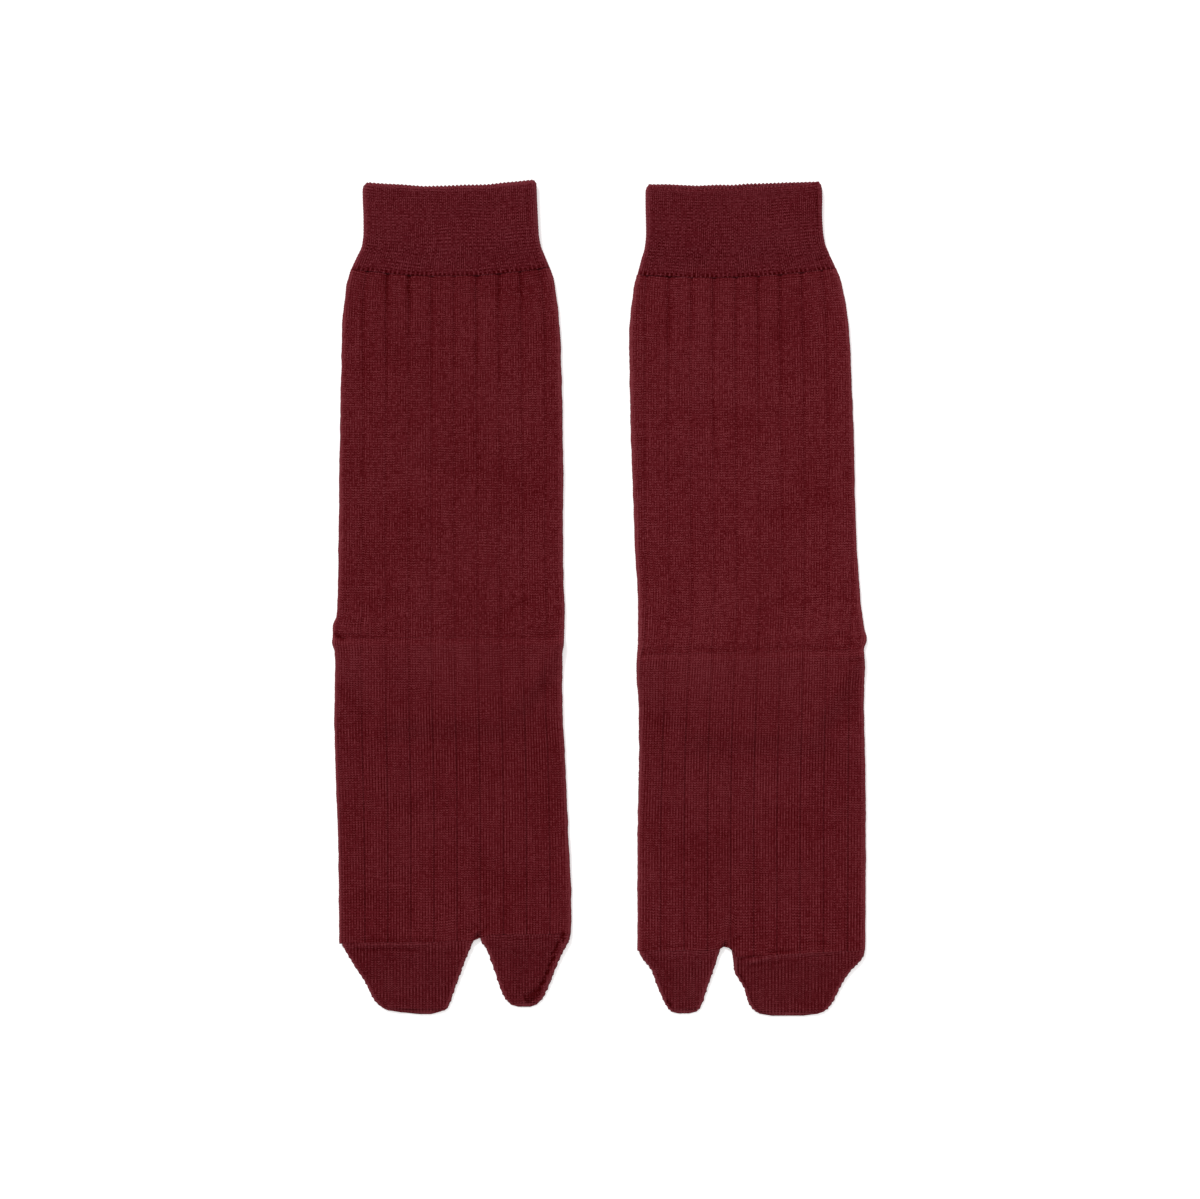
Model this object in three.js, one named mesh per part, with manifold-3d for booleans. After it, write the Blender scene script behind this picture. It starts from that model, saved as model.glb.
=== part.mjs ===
// A pair of split-toe crew socks, laid flat side by side with the instep up and the toes towards -Y.
// Millimetres, +Z up. The origin is on the surface that the socks lie on, under the middle of the pair.
import * as THREE from "three";
import { mergeVertices } from "three/addons/utils/BufferGeometryUtils.js";
import Module from "manifold-3d";

const wasm = await Module();
wasm.setup();

// The pair
const LENGTH = 375.4; // from the toe tips to the cuff's rim
const SOCK_SPACING = 134.6; // between the middle lines of the two socks
const SEAM = 0.3; // gap between neighbouring pieces

// The knit
const WALL = 1.0; // single knit
const SLACK = 0.7; // room between the front and the back of the flattened tube
const CUFF_WALL = 1.8; // the doubled knit of the cuff
const CUFF_SLACK = 0.6;
const BODY_THICK = 2 * WALL + SLACK;
const CUFF_THICK = 2 * CUFF_WALL + CUFF_SLACK;
const CUFF_FLARE = 350; // below this level the cuff widens to the leg
const RIM_ROUND = [
  { drop: 0, round: 0.8 },
  { drop: 0.6, round: 0.3 },
  { drop: 1.8, round: 0 },
];
const POUCH_THICK = 2.2; // two layers of heel knit, pressed flat
const TIP_THICK = 2.3; // where a toe pocket is linked shut
const TIP_WALL = 1.4; // the linked tip is this many times as thick as the wall
const JOIN_LENGTH = 8; // a toe pocket's tube reaches this far into the foot
const JOIN_INSET = 0.4; // and is this much narrower there

// The wide ribs: flat bands with a narrow groove between them
const RIB_HEIGHT = 0.4;
const GATHER_HEIGHT = 0.9; // the same ribs where the cuff draws them together
const GATHER_LENGTH = 24;
const GROOVE_HALF = 1.2;
const GROOVE_ROOM = 3; // least distance from one groove to the next
const GROOVE_FADE = 5; // grooves this near a folded edge run out
const GROOVES = [-4, -3, -2, -1, 0, 1, 2, 3, 4, 5];

// The folded heel pouch
const POUCH_DEPTH = 35; // from the ankle line towards the toes
const POUCH_TIP_HALF = 25;
const POUCH_ROUND = 2; // corners at the ankle line
const TIP_ROUND = 9; // corners at the tip
const POUCH_MARGIN = 1; // the pouch stops this far inside the ankle's folded edges
const POUCH_STEP = 4; // the foot climbs onto the pouch within this length
const POUCH_SLOPE = 7; // and comes down again within this one
const LIFT = POUCH_THICK + SEAM;

// Cutting
const OVERRUN = 3; // a cut runs this far past what it cuts
const REGION_REACH = 80; // sideways reach of the shape that parts a toe pocket from the foot

// How finely the shapes are cut into flat faces
const EDGE_STEPS = 4; // faces round a folded edge
const POCKET_COLUMNS = 6; // points across a toe pocket
const CUFF_COLUMNS = 8;
const NEAR_EDGE = 2.2; // points of the underside keep this far from a folded edge
const UNDERSIDE_COLUMNS = 4; // points between the slopes on the underside of the leg and foot
const OUTLINE_STEPS = 5; // faces round each corner of the heel pouch

// The two socks, measured from the middle line and from the toe tips. In each table a row is a level
// across the sock: y is its height at the folded edges, left and right are those edges, sag is how far
// its middle hangs below them, and tilt how much the right edge is above y and the left edge below it.
const RIGHT_SOCK = {
  name: "right",
  side: -1,
  rimDip: 0.3, // the front rim's middle lies this far below the back rim's
  cuff: [
    { y: 375.0, left: -38.3, right: 38.3, sag: 1.2, tilt: 0.4 },
    { y: 371.0, left: -39.1, right: 38.5, sag: 1.2, tilt: 0.3 },
    { y: 352.0, left: -38.7, right: 39.4, sag: 1.6, tilt: 0.0 },
    { y: 346.0, left: -39.5, right: 40.6, sag: 2.2, tilt: 0.0 },
    { y: 341.0, left: -41.8, right: 42.5, sag: 2.8, tilt: 0.0 },
    { y: 336.4, left: -44.3, right: 44.6, sag: 3.2, tilt: 0.0 },
  ],
  body: [
    { y: 336.4, left: -44.3, right: 44.6, sag: 3.2, tilt: 0.0, groove: 1.8, pitch: 10.1 },
    { y: 327.0, left: -46.8, right: 46.9, sag: 2.6, tilt: 0.0, groove: 1.8, pitch: 10.1 },
    { y: 304.0, left: -48.7, right: 49.1, sag: 1.0, tilt: 0.0, groove: 1.8, pitch: 10.1 },
    { y: 259.0, left: -49.5, right: 50.3, sag: 0.0, tilt: 0.0, groove: 1.9, pitch: 10.2 },
    { y: 205.0, left: -50.0, right: 50.4, sag: 0.0, tilt: 0.0, groove: 2.0, pitch: 10.3 },
    { y: 180.0, left: -50.9, right: 51.1, sag: 0.0, tilt: 0.0, groove: 2.2, pitch: 10.3 },
    { y: 174.0, left: -52.7, right: 50.9, sag: 0.0, tilt: 0.0, groove: 2.2, pitch: 10.3 },
    { y: 168.0, left: -52.7, right: 50.4, sag: 0.0, tilt: 0.0, groove: 2.2, pitch: 10.3 },
    { y: 163.0, left: -51.6, right: 50.1, sag: 0.0, tilt: 0.0, groove: 2.3, pitch: 10.3 },
    { y: 120.0, left: -51.6, right: 51.2, sag: 0.0, tilt: 0.0, groove: 2.8, pitch: 10.4 },
    { y: 84.0, left: -50.4, right: 52.6, sag: 0.0, tilt: 0.0, groove: 3.2, pitch: 10.4 },
    { y: 47.0, left: -50.0, right: 54.0, sag: 0.0, tilt: 0.0, groove: 3.2, pitch: 10.4 },
    { y: 35.4, left: -50.0, right: 53.4, sag: 0.0, tilt: 0.0, groove: 3.2, pitch: 10.4 },
  ],
  ankle: { y: 170.0, tilt: 0.0 },
  crotch: { x: 12.6, y: 35.4 },
  pockets: [
    {
      name: "toes",
      toeLine: { left: 32.4, right: 33.4 },
      rows: [
        { y: 34.8, left: -50.0, right: 11.2 },
        { y: 31.0, left: -48.6, right: 9.0 },
        { y: 24.0, left: -43.9, right: 6.0 },
        { y: 14.0, left: -37.6, right: 2.0 },
        { y: 7.0, left: -33.9, right: -0.4 },
        { y: 3.4, left: -29.7, right: -2.3 },
        { y: 1.8, left: -22.0, right: -5.2 },
        { y: 0.9, left: -14.0, right: -9.0 },
      ],
    },
    {
      name: "big_toe",
      toeLine: { left: 35.0, right: 36.6 },
      rows: [
        { y: 34.8, left: 14.0, right: 53.2 },
        { y: 31.0, left: 16.2, right: 51.3 },
        { y: 24.0, left: 18.7, right: 47.9 },
        { y: 14.0, left: 22.0, right: 44.0 },
        { y: 8.6, left: 24.4, right: 41.2 },
        { y: 5.4, left: 27.4, right: 37.8 },
        { y: 4.2, left: 30.6, right: 35.4 },
      ],
    },
  ],
};

const LEFT_SOCK = {
  name: "left",
  side: 1,
  rimDip: 0.9,
  cuff: [
    { y: 374.8, left: -45.6, right: 31.2, sag: 0.8, tilt: 0.4 },
    { y: 371.0, left: -46.7, right: 32.0, sag: 0.8, tilt: 0.4 },
    { y: 352.0, left: -46.4, right: 32.5, sag: 1.6, tilt: 1.0 },
    { y: 346.0, left: -46.5, right: 34.8, sag: 2.2, tilt: 1.6 },
    { y: 341.0, left: -47.9, right: 36.8, sag: 2.9, tilt: 2.2 },
    { y: 336.4, left: -49.6, right: 39.0, sag: 3.5, tilt: 2.7 },
  ],
  body: [
    { y: 336.4, left: -49.6, right: 39.0, sag: 3.5, tilt: 2.7, groove: -6.3, pitch: 10.0 },
    { y: 327.0, left: -51.9, right: 41.6, sag: 2.8, tilt: 2.0, groove: -6.3, pitch: 10.0 },
    { y: 304.0, left: -54.0, right: 44.7, sag: 1.0, tilt: 0.6, groove: -6.3, pitch: 10.1 },
    { y: 277.0, left: -53.6, right: 45.9, sag: 0.0, tilt: 0.0, groove: -6.2, pitch: 10.2 },
    { y: 223.0, left: -51.3, right: 47.3, sag: 0.0, tilt: 0.0, groove: -5.8, pitch: 10.2 },
    { y: 187.0, left: -50.0, right: 49.5, sag: 0.0, tilt: 0.3, groove: -5.6, pitch: 10.1 },
    { y: 174.0, left: -50.0, right: 51.8, sag: 0.0, tilt: 0.8, groove: -6.0, pitch: 10.1 },
    { y: 168.0, left: -50.2, right: 52.6, sag: 0.0, tilt: 1.1, groove: -6.3, pitch: 10.2 },
    { y: 163.0, left: -50.6, right: 51.4, sag: 0.0, tilt: 1.1, groove: -6.6, pitch: 10.2 },
    { y: 146.0, left: -50.0, right: 51.3, sag: 0.0, tilt: 0.6, groove: -7.4, pitch: 10.3 },
    { y: 120.0, left: -49.6, right: 51.8, sag: 0.0, tilt: 0.0, groove: -8.2, pitch: 10.4 },
    { y: 80.0, left: -50.0, right: 51.8, sag: 0.0, tilt: 0.0, groove: -8.6, pitch: 10.4 },
    { y: 31.8, left: -49.8, right: 51.8, sag: 0.0, tilt: 0.0, groove: -8.6, pitch: 10.4 },
  ],
  ankle: { y: 163.6, tilt: 1.1 },
  crotch: { x: -11.0, y: 31.8 },
  pockets: [
    {
      name: "big_toe",
      toeLine: { left: 29.0, right: 29.0 },
      rows: [
        { y: 31.2, left: -49.8, right: -12.5 },
        { y: 27.0, left: -48.7, right: -14.2 },
        { y: 20.0, left: -43.9, right: -16.6 },
        { y: 12.4, left: -41.0, right: -19.3 },
        { y: 5.4, left: -37.9, right: -22.0 },
        { y: 2.4, left: -35.4, right: -24.2 },
        { y: 1.2, left: -32.0, right: -27.2 },
      ],
    },
    {
      name: "toes",
      toeLine: { left: 25.8, right: 29.4 },
      rows: [
        { y: 31.2, left: -9.0, right: 51.7 },
        { y: 27.0, left: -7.4, right: 50.8 },
        { y: 20.0, left: -6.2, right: 44.4 },
        { y: 12.4, left: -2.5, right: 40.2 },
        { y: 5.4, left: -0.1, right: 36.6 },
        { y: 2.4, left: 2.4, right: 33.6 },
        { y: 0.9, left: 5.6, right: 29.0 },
        { y: 0.2, left: 10.0, right: 24.0 },
      ],
    },
  ],
};

const COLOURS = { cuff: "#54171d", body: "#58191f", heel: "#551820", toes: "#4e151b" };

// 0 up to `from`, 1 past `to`, and a soft change between them.
function ease(from, to, value) {
  return THREE.MathUtils.smoothstep((value - from) / (to - from), 0, 1);
}

// The slope of a table's column at row i, kept flat at a turning point so that nothing overshoots.
function slopeAt(rows, column, i) {
  const secant = (a, b) => (rows[b][column] - rows[a][column]) / (rows[b].y - rows[a].y);
  if (i === 0) return secant(0, 1);
  if (i === rows.length - 1) return secant(i - 1, i);
  const before = secant(i - 1, i);
  const after = secant(i, i + 1);
  return before * after <= 0 ? 0 : (2 * before * after) / (before + after);
}

// A column of a table at height y, on one smooth curve through its rows.
function valueAt(rows, column, y) {
  const last = rows.length - 1;
  if (y >= rows[0].y) return rows[0][column];
  if (y <= rows[last].y) return rows[last][column];
  const i = rows.findIndex((row) => row.y < y) - 1;
  const step = rows[i + 1].y - rows[i].y;
  const t = (y - rows[i].y) / step;
  const start = rows[i][column];
  const end = rows[i + 1][column];
  const leave = slopeAt(rows, column, i) * step;
  const arrive = slopeAt(rows, column, i + 1) * step;
  return (
    start * (1 + 2 * t) * (1 - t) ** 2 +
    leave * t * (1 - t) ** 2 +
    end * t * t * (3 - 2 * t) +
    arrive * t * t * (t - 1)
  );
}

// Heights from each stretch's start down to its end, the end of one being the start of the next.
function levelsOf(stretches) {
  const levels = [stretches[0][0]];
  for (const [from, to, spacing] of stretches) {
    const count = Math.max(1, Math.round((from - to) / spacing));
    for (let i = 1; i <= count; i += 1) levels.push(from + ((to - from) * i) / count);
  }
  return levels;
}

// Levels for the leg and foot: close together at the cuff and where it climbs over the heel pouch.
function bodyLevels(sock, spread) {
  const top = sock.body[0].y;
  const gathersEnd = top - GATHER_LENGTH;
  const climbStart = sock.ankle.y + POUCH_STEP / 2;
  const climbEnd = sock.ankle.y - POUCH_STEP / 2;
  const pouchEnd = sock.ankle.y - POUCH_DEPTH - 1;
  const slopeEnd = pouchEnd - POUCH_SLOPE;
  return levelsOf([
    [top, gathersEnd, 5 * spread],
    [gathersEnd, climbStart + 8, 21 * spread],
    [climbStart + 8, climbStart, 4],
    [climbStart, climbEnd, 2],
    [climbEnd, pouchEnd, 6 * spread],
    [pouchEnd, slopeEnd, 3.5],
    [slopeEnd, sock.crotch.y + WALL, 17 * spread],
  ]);
}

// Evenly spaced values strictly between two ends.
function between(start, end, count) {
  return Array.from({ length: count }, (_, i) => start + ((end - start) * (i + 1)) / (count + 1));
}

// The half width of the folded heel pouch at a depth below the ankle line.
function pouchHalf(sock, depth) {
  const width = valueAt(sock.body, "right", sock.ankle.y) - valueAt(sock.body, "left", sock.ankle.y);
  const share = THREE.MathUtils.clamp(depth / POUCH_DEPTH, 0, 1);
  return THREE.MathUtils.lerp(width / 2 - POUCH_MARGIN, POUCH_TIP_HALF, share);
}

function ankleMiddle(sock) {
  return (valueAt(sock.body, "right", sock.ankle.y) + valueAt(sock.body, "left", sock.ankle.y)) / 2;
}

// How far the foot's cloth lies above the surface, where it passes over the heel pouch.
function liftAt(sock, x, level) {
  const depth = sock.ankle.y - level;
  const climb = ease(-POUCH_STEP / 2, POUCH_STEP / 2, depth);
  const descend = 1 - ease(POUCH_DEPTH + 1, POUCH_DEPTH + 1 + POUCH_SLOPE, depth);
  const outside = Math.abs(x - ankleMiddle(sock)) - pouchHalf(sock, depth);
  return LIFT * climb * descend * (1 - ease(1, 1 + POUCH_SLOPE, outside));
}

// How far the ribs stand above the plain front wall.
function ribAt(sock, level) {
  const top = sock.body[0].y;
  return THREE.MathUtils.lerp(RIB_HEIGHT, GATHER_HEIGHT, ease(top - GATHER_LENGTH, top, level));
}

// Points across the front of the leg and foot, two on the flats and one in the bottom of each groove.
function ribbedFront(sock, level, left, right) {
  const middle = valueAt(sock.body, "groove", level);
  const pitch = valueAt(sock.body, "pitch", level);
  const height = ribAt(sock, level);
  const points = [];
  GROOVES.forEach((groove, i) => {
    const wanted = middle + groove * pitch;
    const low = left + GROOVE_HALF + GROOVE_ROOM * (i + 0.2);
    const high = right - GROOVE_HALF - GROOVE_ROOM * (GROOVES.length - 0.8 - i);
    const x = THREE.MathUtils.clamp(wanted, low, high);
    const room = Math.min(wanted - left, right - wanted);
    const depth = height * ease(0, GROOVE_FADE, room);
    points.push([x - GROOVE_HALF, height]);
    points.push([x, height - depth]);
    points.push([x + GROOVE_HALF, height]);
  });
  return points;
}

// A closed section of a flattened tube as [x, z] pairs: round the left folded edge, over the front,
// round the right folded edge and back along the underside.
function flattened(left, right, floor, roof, front, back) {
  const radius = (roof - floor) / 2;
  const middle = (roof + floor) / 2;
  const points = [];
  for (let i = 0; i <= EDGE_STEPS; i += 1) {
    const turn = Math.PI * (i / EDGE_STEPS - 0.5);
    points.push([left + radius - radius * Math.cos(turn), middle + radius * Math.sin(turn)]);
  }
  for (const [x, rise] of front) points.push([x, roof + rise]);
  for (let i = 0; i <= EDGE_STEPS; i += 1) {
    const turn = Math.PI * (0.5 - i / EDGE_STEPS);
    points.push([right - radius + radius * Math.cos(turn), middle + radius * Math.sin(turn)]);
  }
  for (const x of back) points.push([x, floor]);
  return points;
}

// Places a section at its level, with the level's sag and tilt and the lift over the heel pouch.
function placed(points, rows, level, lift) {
  const left = valueAt(rows, "left", level);
  const right = valueAt(rows, "right", level);
  const sag = valueAt(rows, "sag", level);
  const tilt = valueAt(rows, "tilt", level);
  return points.map(([x, z]) => {
    const across = THREE.MathUtils.clamp((2 * x - left - right) / (right - left), -1, 1);
    const y = level - sag * (1 - across * across) + tilt * across;
    return new THREE.Vector3(x, y, z + lift(x, level));
  });
}

// Underside points of the leg and foot, from right to left, set where the pouch's slopes bend.
function underside(sock, level, left, right) {
  const middle = ankleMiddle(sock);
  const half = pouchHalf(sock, sock.ankle.y - level) + 1;
  const within = (x, room) => THREE.MathUtils.clamp(x, left + room, right - room);
  const nearLeft = within(middle - half, NEAR_EDGE + 0.4);
  const nearRight = within(middle + half, NEAR_EDGE + 0.4);
  return [
    within(middle + half + POUCH_SLOPE, NEAR_EDGE),
    nearRight,
    ...between(nearRight, nearLeft, UNDERSIDE_COLUMNS),
    nearLeft,
    within(middle - half - POUCH_SLOPE, NEAR_EDGE),
  ];
}

// Triangles that close a section, laced between its front and its back from left to right.
function capOf(section) {
  const count = section.length;
  const lowest = section.reduce((best, point, i) => (point.x < section[best].x ? i : best), 0);
  const highest = section.reduce((best, point, i) => (point.x > section[best].x ? i : best), 0);
  const triangles = [];
  let front = lowest;
  let back = lowest;
  while (front !== highest || back !== highest) {
    const nextFront = (front + 1) % count;
    const nextBack = (back + count - 1) % count;
    const frontIsNext = front !== highest && section[nextFront].x <= section[nextBack].x;
    const alongFront = frontIsNext || back === highest;
    const step = alongFront ? nextFront : nextBack;
    if (new Set([front, step, back]).size === 3) triangles.push([front, step, back]);
    if (alongFront) front = step;
    else back = step;
  }
  return triangles;
}

// A closed surface through sections that all have the same number of points, from high y to low.
function loft(sections) {
  const count = sections[0].length;
  const positions = sections.flat().flatMap((point) => point.toArray());
  const index = [];
  for (let s = 0; s + 1 < sections.length; s += 1) {
    for (let i = 0; i < count; i += 1) {
      const next = (i + 1) % count;
      const a = s * count + i;
      const b = s * count + next;
      const c = a + count;
      const d = b + count;
      index.push(a, c, b, b, c, d);
    }
  }
  const end = (sections.length - 1) * count;
  for (const [a, b, c] of capOf(sections[0])) index.push(a, b, c);
  for (const [a, b, c] of capOf(sections[sections.length - 1])) index.push(end + c, end + b, end + a);
  const geometry = new THREE.BufferGeometry();
  geometry.setAttribute("position", new THREE.Float32BufferAttribute(positions, 3));
  geometry.setIndex(index);
  return geometry;
}

// A closed surface as a solid that can be joined and cut.
function solidOf(geometry) {
  geometry.deleteAttribute("normal");
  geometry.deleteAttribute("uv");
  const merged = mergeVertices(geometry, 1e-4);
  return new wasm.Manifold(
    new wasm.Mesh({
      numProp: 3,
      vertProperties: merged.attributes.position.array,
      triVerts: new Uint32Array(merged.index.array),
    }),
  );
}

// A solid's surface, for a mesh.
function surfaceOf(solid) {
  const made = solid.getMesh();
  const geometry = new THREE.BufferGeometry();
  geometry.setAttribute("position", new THREE.BufferAttribute(made.vertProperties, 3));
  geometry.setIndex(new THREE.BufferAttribute(made.triVerts, 1));
  geometry.computeVertexNormals();
  return geometry;
}

function meshOf(name, solid, colour) {
  const material = new THREE.MeshStandardMaterial({ color: colour, roughness: 0.95, metalness: 0 });
  const mesh = new THREE.Mesh(surfaceOf(solid), material);
  mesh.name = name;
  return mesh;
}

// The leg and foot: outside with its ribs.
function bodyOutside(sock) {
  const levels = [...bodyLevels(sock, 1), sock.crotch.y];
  const sections = levels.map((level) => {
    const left = valueAt(sock.body, "left", level);
    const right = valueAt(sock.body, "right", level);
    const front = ribbedFront(sock, level, left + BODY_THICK / 2, right - BODY_THICK / 2);
    const points = flattened(left, right, 0, BODY_THICK, front, underside(sock, level, left, right));
    return placed(points, sock.body, level, (x, y) => liftAt(sock, x, y));
  });
  return solidOf(loft(sections));
}

// The leg and foot: plain inside.
function bodyInside(sock) {
  const sections = bodyLevels(sock, 2).map((level) => {
    const left = valueAt(sock.body, "left", level);
    const right = valueAt(sock.body, "right", level);
    const back = underside(sock, level, left, right);
    const front = [...back].reverse().map((x) => [x, 0]);
    const points = flattened(left + WALL, right - WALL, WALL, WALL + SLACK, front, back);
    return placed(points, sock.body, level, (x, y) => liftAt(sock, x, y));
  });
  return solidOf(loft([overrun(sections[0], OVERRUN), ...sections]));
}

// A toe pocket's tube, out to its wall or in to its hollow. It starts inside the foot.
function pocketTube(sock, pocket, inset) {
  const [first] = pocket.rows;
  const start = {
    y: sock.crotch.y + JOIN_LENGTH,
    left: first.left + JOIN_INSET,
    right: first.right - JOIN_INSET,
  };
  const tip = pocket.rows[pocket.rows.length - 1].y;
  const sections = [start, ...pocket.rows].map((row, i) => {
    const thick = THREE.MathUtils.lerp(BODY_THICK, TIP_THICK, (start.y - row.y) / (start.y - tip));
    const y = THREE.MathUtils.mapLinear(row.y, tip, start.y, tip + TIP_WALL * inset, start.y);
    const left = (i === 0 ? start.left : valueAt(pocket.rows, "left", y)) + inset;
    const right = (i === 0 ? start.right : valueAt(pocket.rows, "right", y)) - inset;
    const roof = thick - inset - (i === 0 ? JOIN_INSET / 2 : 0);
    const front = between(left + thick / 2, right - thick / 2, POCKET_COLUMNS).map((x) => [x, 0]);
    const back = front.map(([x]) => x).reverse();
    return flattened(left, right, inset, roof, front, back).map(([x, z]) => new THREE.Vector3(x, y, z));
  });
  return solidOf(loft(sections));
}

// Everything on a pocket's side of the crotch from its toe line to past its tip, `above` the line too.
function pocketRegion(sock, pocket, above) {
  const sideOfCrotch = Math.sign(pocket.rows[0].left + pocket.rows[0].right - 2 * sock.crotch.x);
  const outer = sock.crotch.x + sideOfCrotch * REGION_REACH;
  const { left, right } = pocket.toeLine;
  const start = sideOfCrotch > 0 ? left : right;
  const finish = sideOfCrotch > 0 ? right : left;
  const outline = new THREE.Shape([
    new THREE.Vector2(sock.crotch.x, start + above),
    new THREE.Vector2(sock.crotch.x, -OVERRUN),
    new THREE.Vector2(outer, -OVERRUN),
    new THREE.Vector2(outer, finish + above),
  ]);
  const depth = BODY_THICK + GATHER_HEIGHT + 2 * OVERRUN;
  const geometry = new THREE.ExtrudeGeometry(outline, { depth, bevelEnabled: false });
  geometry.translate(0, 0, -OVERRUN);
  return solidOf(geometry);
}

// A section of the cuff, drawn in by `inset` all round and by `round` at its edges and front.
function cuffSection(sock, level, inset, round, dip) {
  const left = valueAt(sock.cuff, "left", level) + inset;
  const right = valueAt(sock.cuff, "right", level) - inset;
  const columns = between(left + CUFF_THICK / 2, right - CUFF_THICK / 2, CUFF_COLUMNS);
  const front = columns.map((x) => [x, 0]);
  const back = [...columns].reverse();
  const points = flattened(left + round, right - round, inset, CUFF_THICK - inset - round, front, back);
  const section = placed(points, sock.cuff, level, () => 0);
  for (const point of section.filter(({ z }) => z > CUFF_THICK / 2)) {
    const across = (2 * point.x - left - right) / (right - left);
    point.y -= dip * Math.max(0, 1 - across * across);
  }
  return section;
}

// A section moved along the sock, so that what it cuts is cut right through.
function overrun(section, distance) {
  return section.map(({ x, y, z }) => new THREE.Vector3(x, y + distance, z));
}

// The cuff: a doubled welt with a rounded rim, open at both ends.
function cuffSolid(sock) {
  const rim = sock.cuff[0].y;
  const base = sock.cuff[sock.cuff.length - 1].y + SEAM;
  const bands = levelsOf([
    [rim - 6, CUFF_FLARE, 12],
    [CUFF_FLARE, base, 3.4],
  ]);
  const rounded = RIM_ROUND.map(({ drop, round }) => cuffSection(sock, rim - drop, 0, round, sock.rimDip));
  const plain = bands.map((level) => cuffSection(sock, level, 0, 0, 0));
  const hollow = [rim, ...bands].map((level) => cuffSection(sock, level, CUFF_WALL, 0, 0));
  const start = overrun(hollow[0], OVERRUN);
  const finish = overrun(hollow[hollow.length - 1], -OVERRUN);
  return solidOf(loft([...rounded, ...plain])).subtract(solidOf(loft([start, ...hollow, finish])));
}

// The outline of the folded heel pouch seen from above, drawn in by `inset`.
function pouchOutline(sock, inset) {
  const middle = ankleMiddle(sock);
  const start = POUCH_STEP / 2 + SEAM + inset;
  const end = POUCH_DEPTH - inset;
  const cornerPoint = (side, depth, shift) =>
    new THREE.Vector2(side * (pouchHalf(sock, depth) - inset - shift), -depth);
  const outline = new THREE.Path();
  outline.moveTo(...cornerPoint(-1, start, POUCH_ROUND));
  outline.quadraticCurveTo(...cornerPoint(-1, start, 0), ...cornerPoint(-1, start + POUCH_ROUND, 0));
  outline.lineTo(...cornerPoint(-1, end - TIP_ROUND, 0));
  outline.quadraticCurveTo(...cornerPoint(-1, end, 0), ...cornerPoint(-1, end, TIP_ROUND));
  outline.lineTo(...cornerPoint(1, end, TIP_ROUND));
  outline.quadraticCurveTo(...cornerPoint(1, end, 0), ...cornerPoint(1, end - TIP_ROUND, 0));
  outline.lineTo(...cornerPoint(1, start + POUCH_ROUND, 0));
  outline.quadraticCurveTo(...cornerPoint(1, start, 0), ...cornerPoint(1, start, POUCH_ROUND));
  return outline.getPoints(OUTLINE_STEPS).map((point) => {
    const tilt = (sock.ankle.tilt * point.x) / pouchHalf(sock, 0);
    return new THREE.Vector2(point.x + middle, point.y + sock.ankle.y + tilt);
  });
}

// The heel pouch, folded flat: one rounded solid with a groove round its edge between its two layers.
function heelSolid(sock) {
  const layers = [
    { z: POUCH_THICK, inset: 0.4 },
    { z: 1.85, inset: 0 },
    { z: 1.35, inset: 0 },
    { z: 1.1, inset: 0.5 },
    { z: 0.85, inset: 0 },
    { z: 0.35, inset: 0 },
    { z: 0, inset: 0.4 },
  ];
  const rings = layers.map(({ z, inset }) =>
    pouchOutline(sock, inset).map((point) => new THREE.Vector3(point.x, z, point.y)),
  );
  const geometry = loft(rings);
  const position = geometry.attributes.position;
  for (let i = 0; i < position.count; i += 1) {
    position.setXYZ(i, position.getX(i), position.getZ(i), position.getY(i));
  }
  return solidOf(geometry);
}

// One sock: cuff, leg and foot, heel and two toe pockets.
function buildSock(sock) {
  const group = new THREE.Group();
  group.position.set((sock.side * SOCK_SPACING) / 2, -LENGTH / 2, 0);
  let outside = bodyOutside(sock);
  let inside = bodyInside(sock);
  for (const pocket of sock.pockets) {
    outside = outside.add(pocketTube(sock, pocket, 0));
    inside = inside.add(pocketTube(sock, pocket, WALL));
  }
  const knit = outside.subtract(inside);
  let body = knit;
  for (const pocket of sock.pockets) {
    body = body.subtract(pocketRegion(sock, pocket, SEAM));
    const solid = knit.intersect(pocketRegion(sock, pocket, 0));
    group.add(meshOf(`${sock.name}_${pocket.name}`, solid, COLOURS.toes));
  }
  group.add(meshOf(`${sock.name}_leg_foot`, body, COLOURS.body));
  group.add(meshOf(`${sock.name}_cuff`, cuffSolid(sock), COLOURS.cuff));
  group.add(meshOf(`${sock.name}_heel`, heelSolid(sock), COLOURS.heel));
  return group;
}

const pair = new THREE.Group();
pair.add(buildSock(RIGHT_SOCK), buildSock(LEFT_SOCK));

export default pair;
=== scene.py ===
"""A pair of split-toe crew socks laid flat, instep up: closed knit shells with their stitches, ribs,
gathers and creases as real geometry, on a plain pale floor. Lengths in the tables are millimetres
in each sock's own frame: x from its middle line, y from the toe tips, z from the floor."""

import math
from types import SimpleNamespace

import bmesh
import bpy
import numpy as np
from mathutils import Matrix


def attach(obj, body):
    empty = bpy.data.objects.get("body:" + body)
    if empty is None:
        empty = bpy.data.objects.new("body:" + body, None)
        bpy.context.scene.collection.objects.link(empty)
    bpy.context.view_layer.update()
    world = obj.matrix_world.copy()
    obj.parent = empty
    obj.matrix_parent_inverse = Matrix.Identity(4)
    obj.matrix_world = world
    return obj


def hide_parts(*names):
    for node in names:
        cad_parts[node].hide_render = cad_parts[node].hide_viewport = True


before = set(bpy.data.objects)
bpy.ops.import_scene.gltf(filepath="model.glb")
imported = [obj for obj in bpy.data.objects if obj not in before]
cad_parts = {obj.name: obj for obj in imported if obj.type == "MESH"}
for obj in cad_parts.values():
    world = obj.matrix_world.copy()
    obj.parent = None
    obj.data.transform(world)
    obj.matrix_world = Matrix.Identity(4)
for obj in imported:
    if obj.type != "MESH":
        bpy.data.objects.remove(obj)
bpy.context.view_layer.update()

TURN = 2 * math.pi

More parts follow.
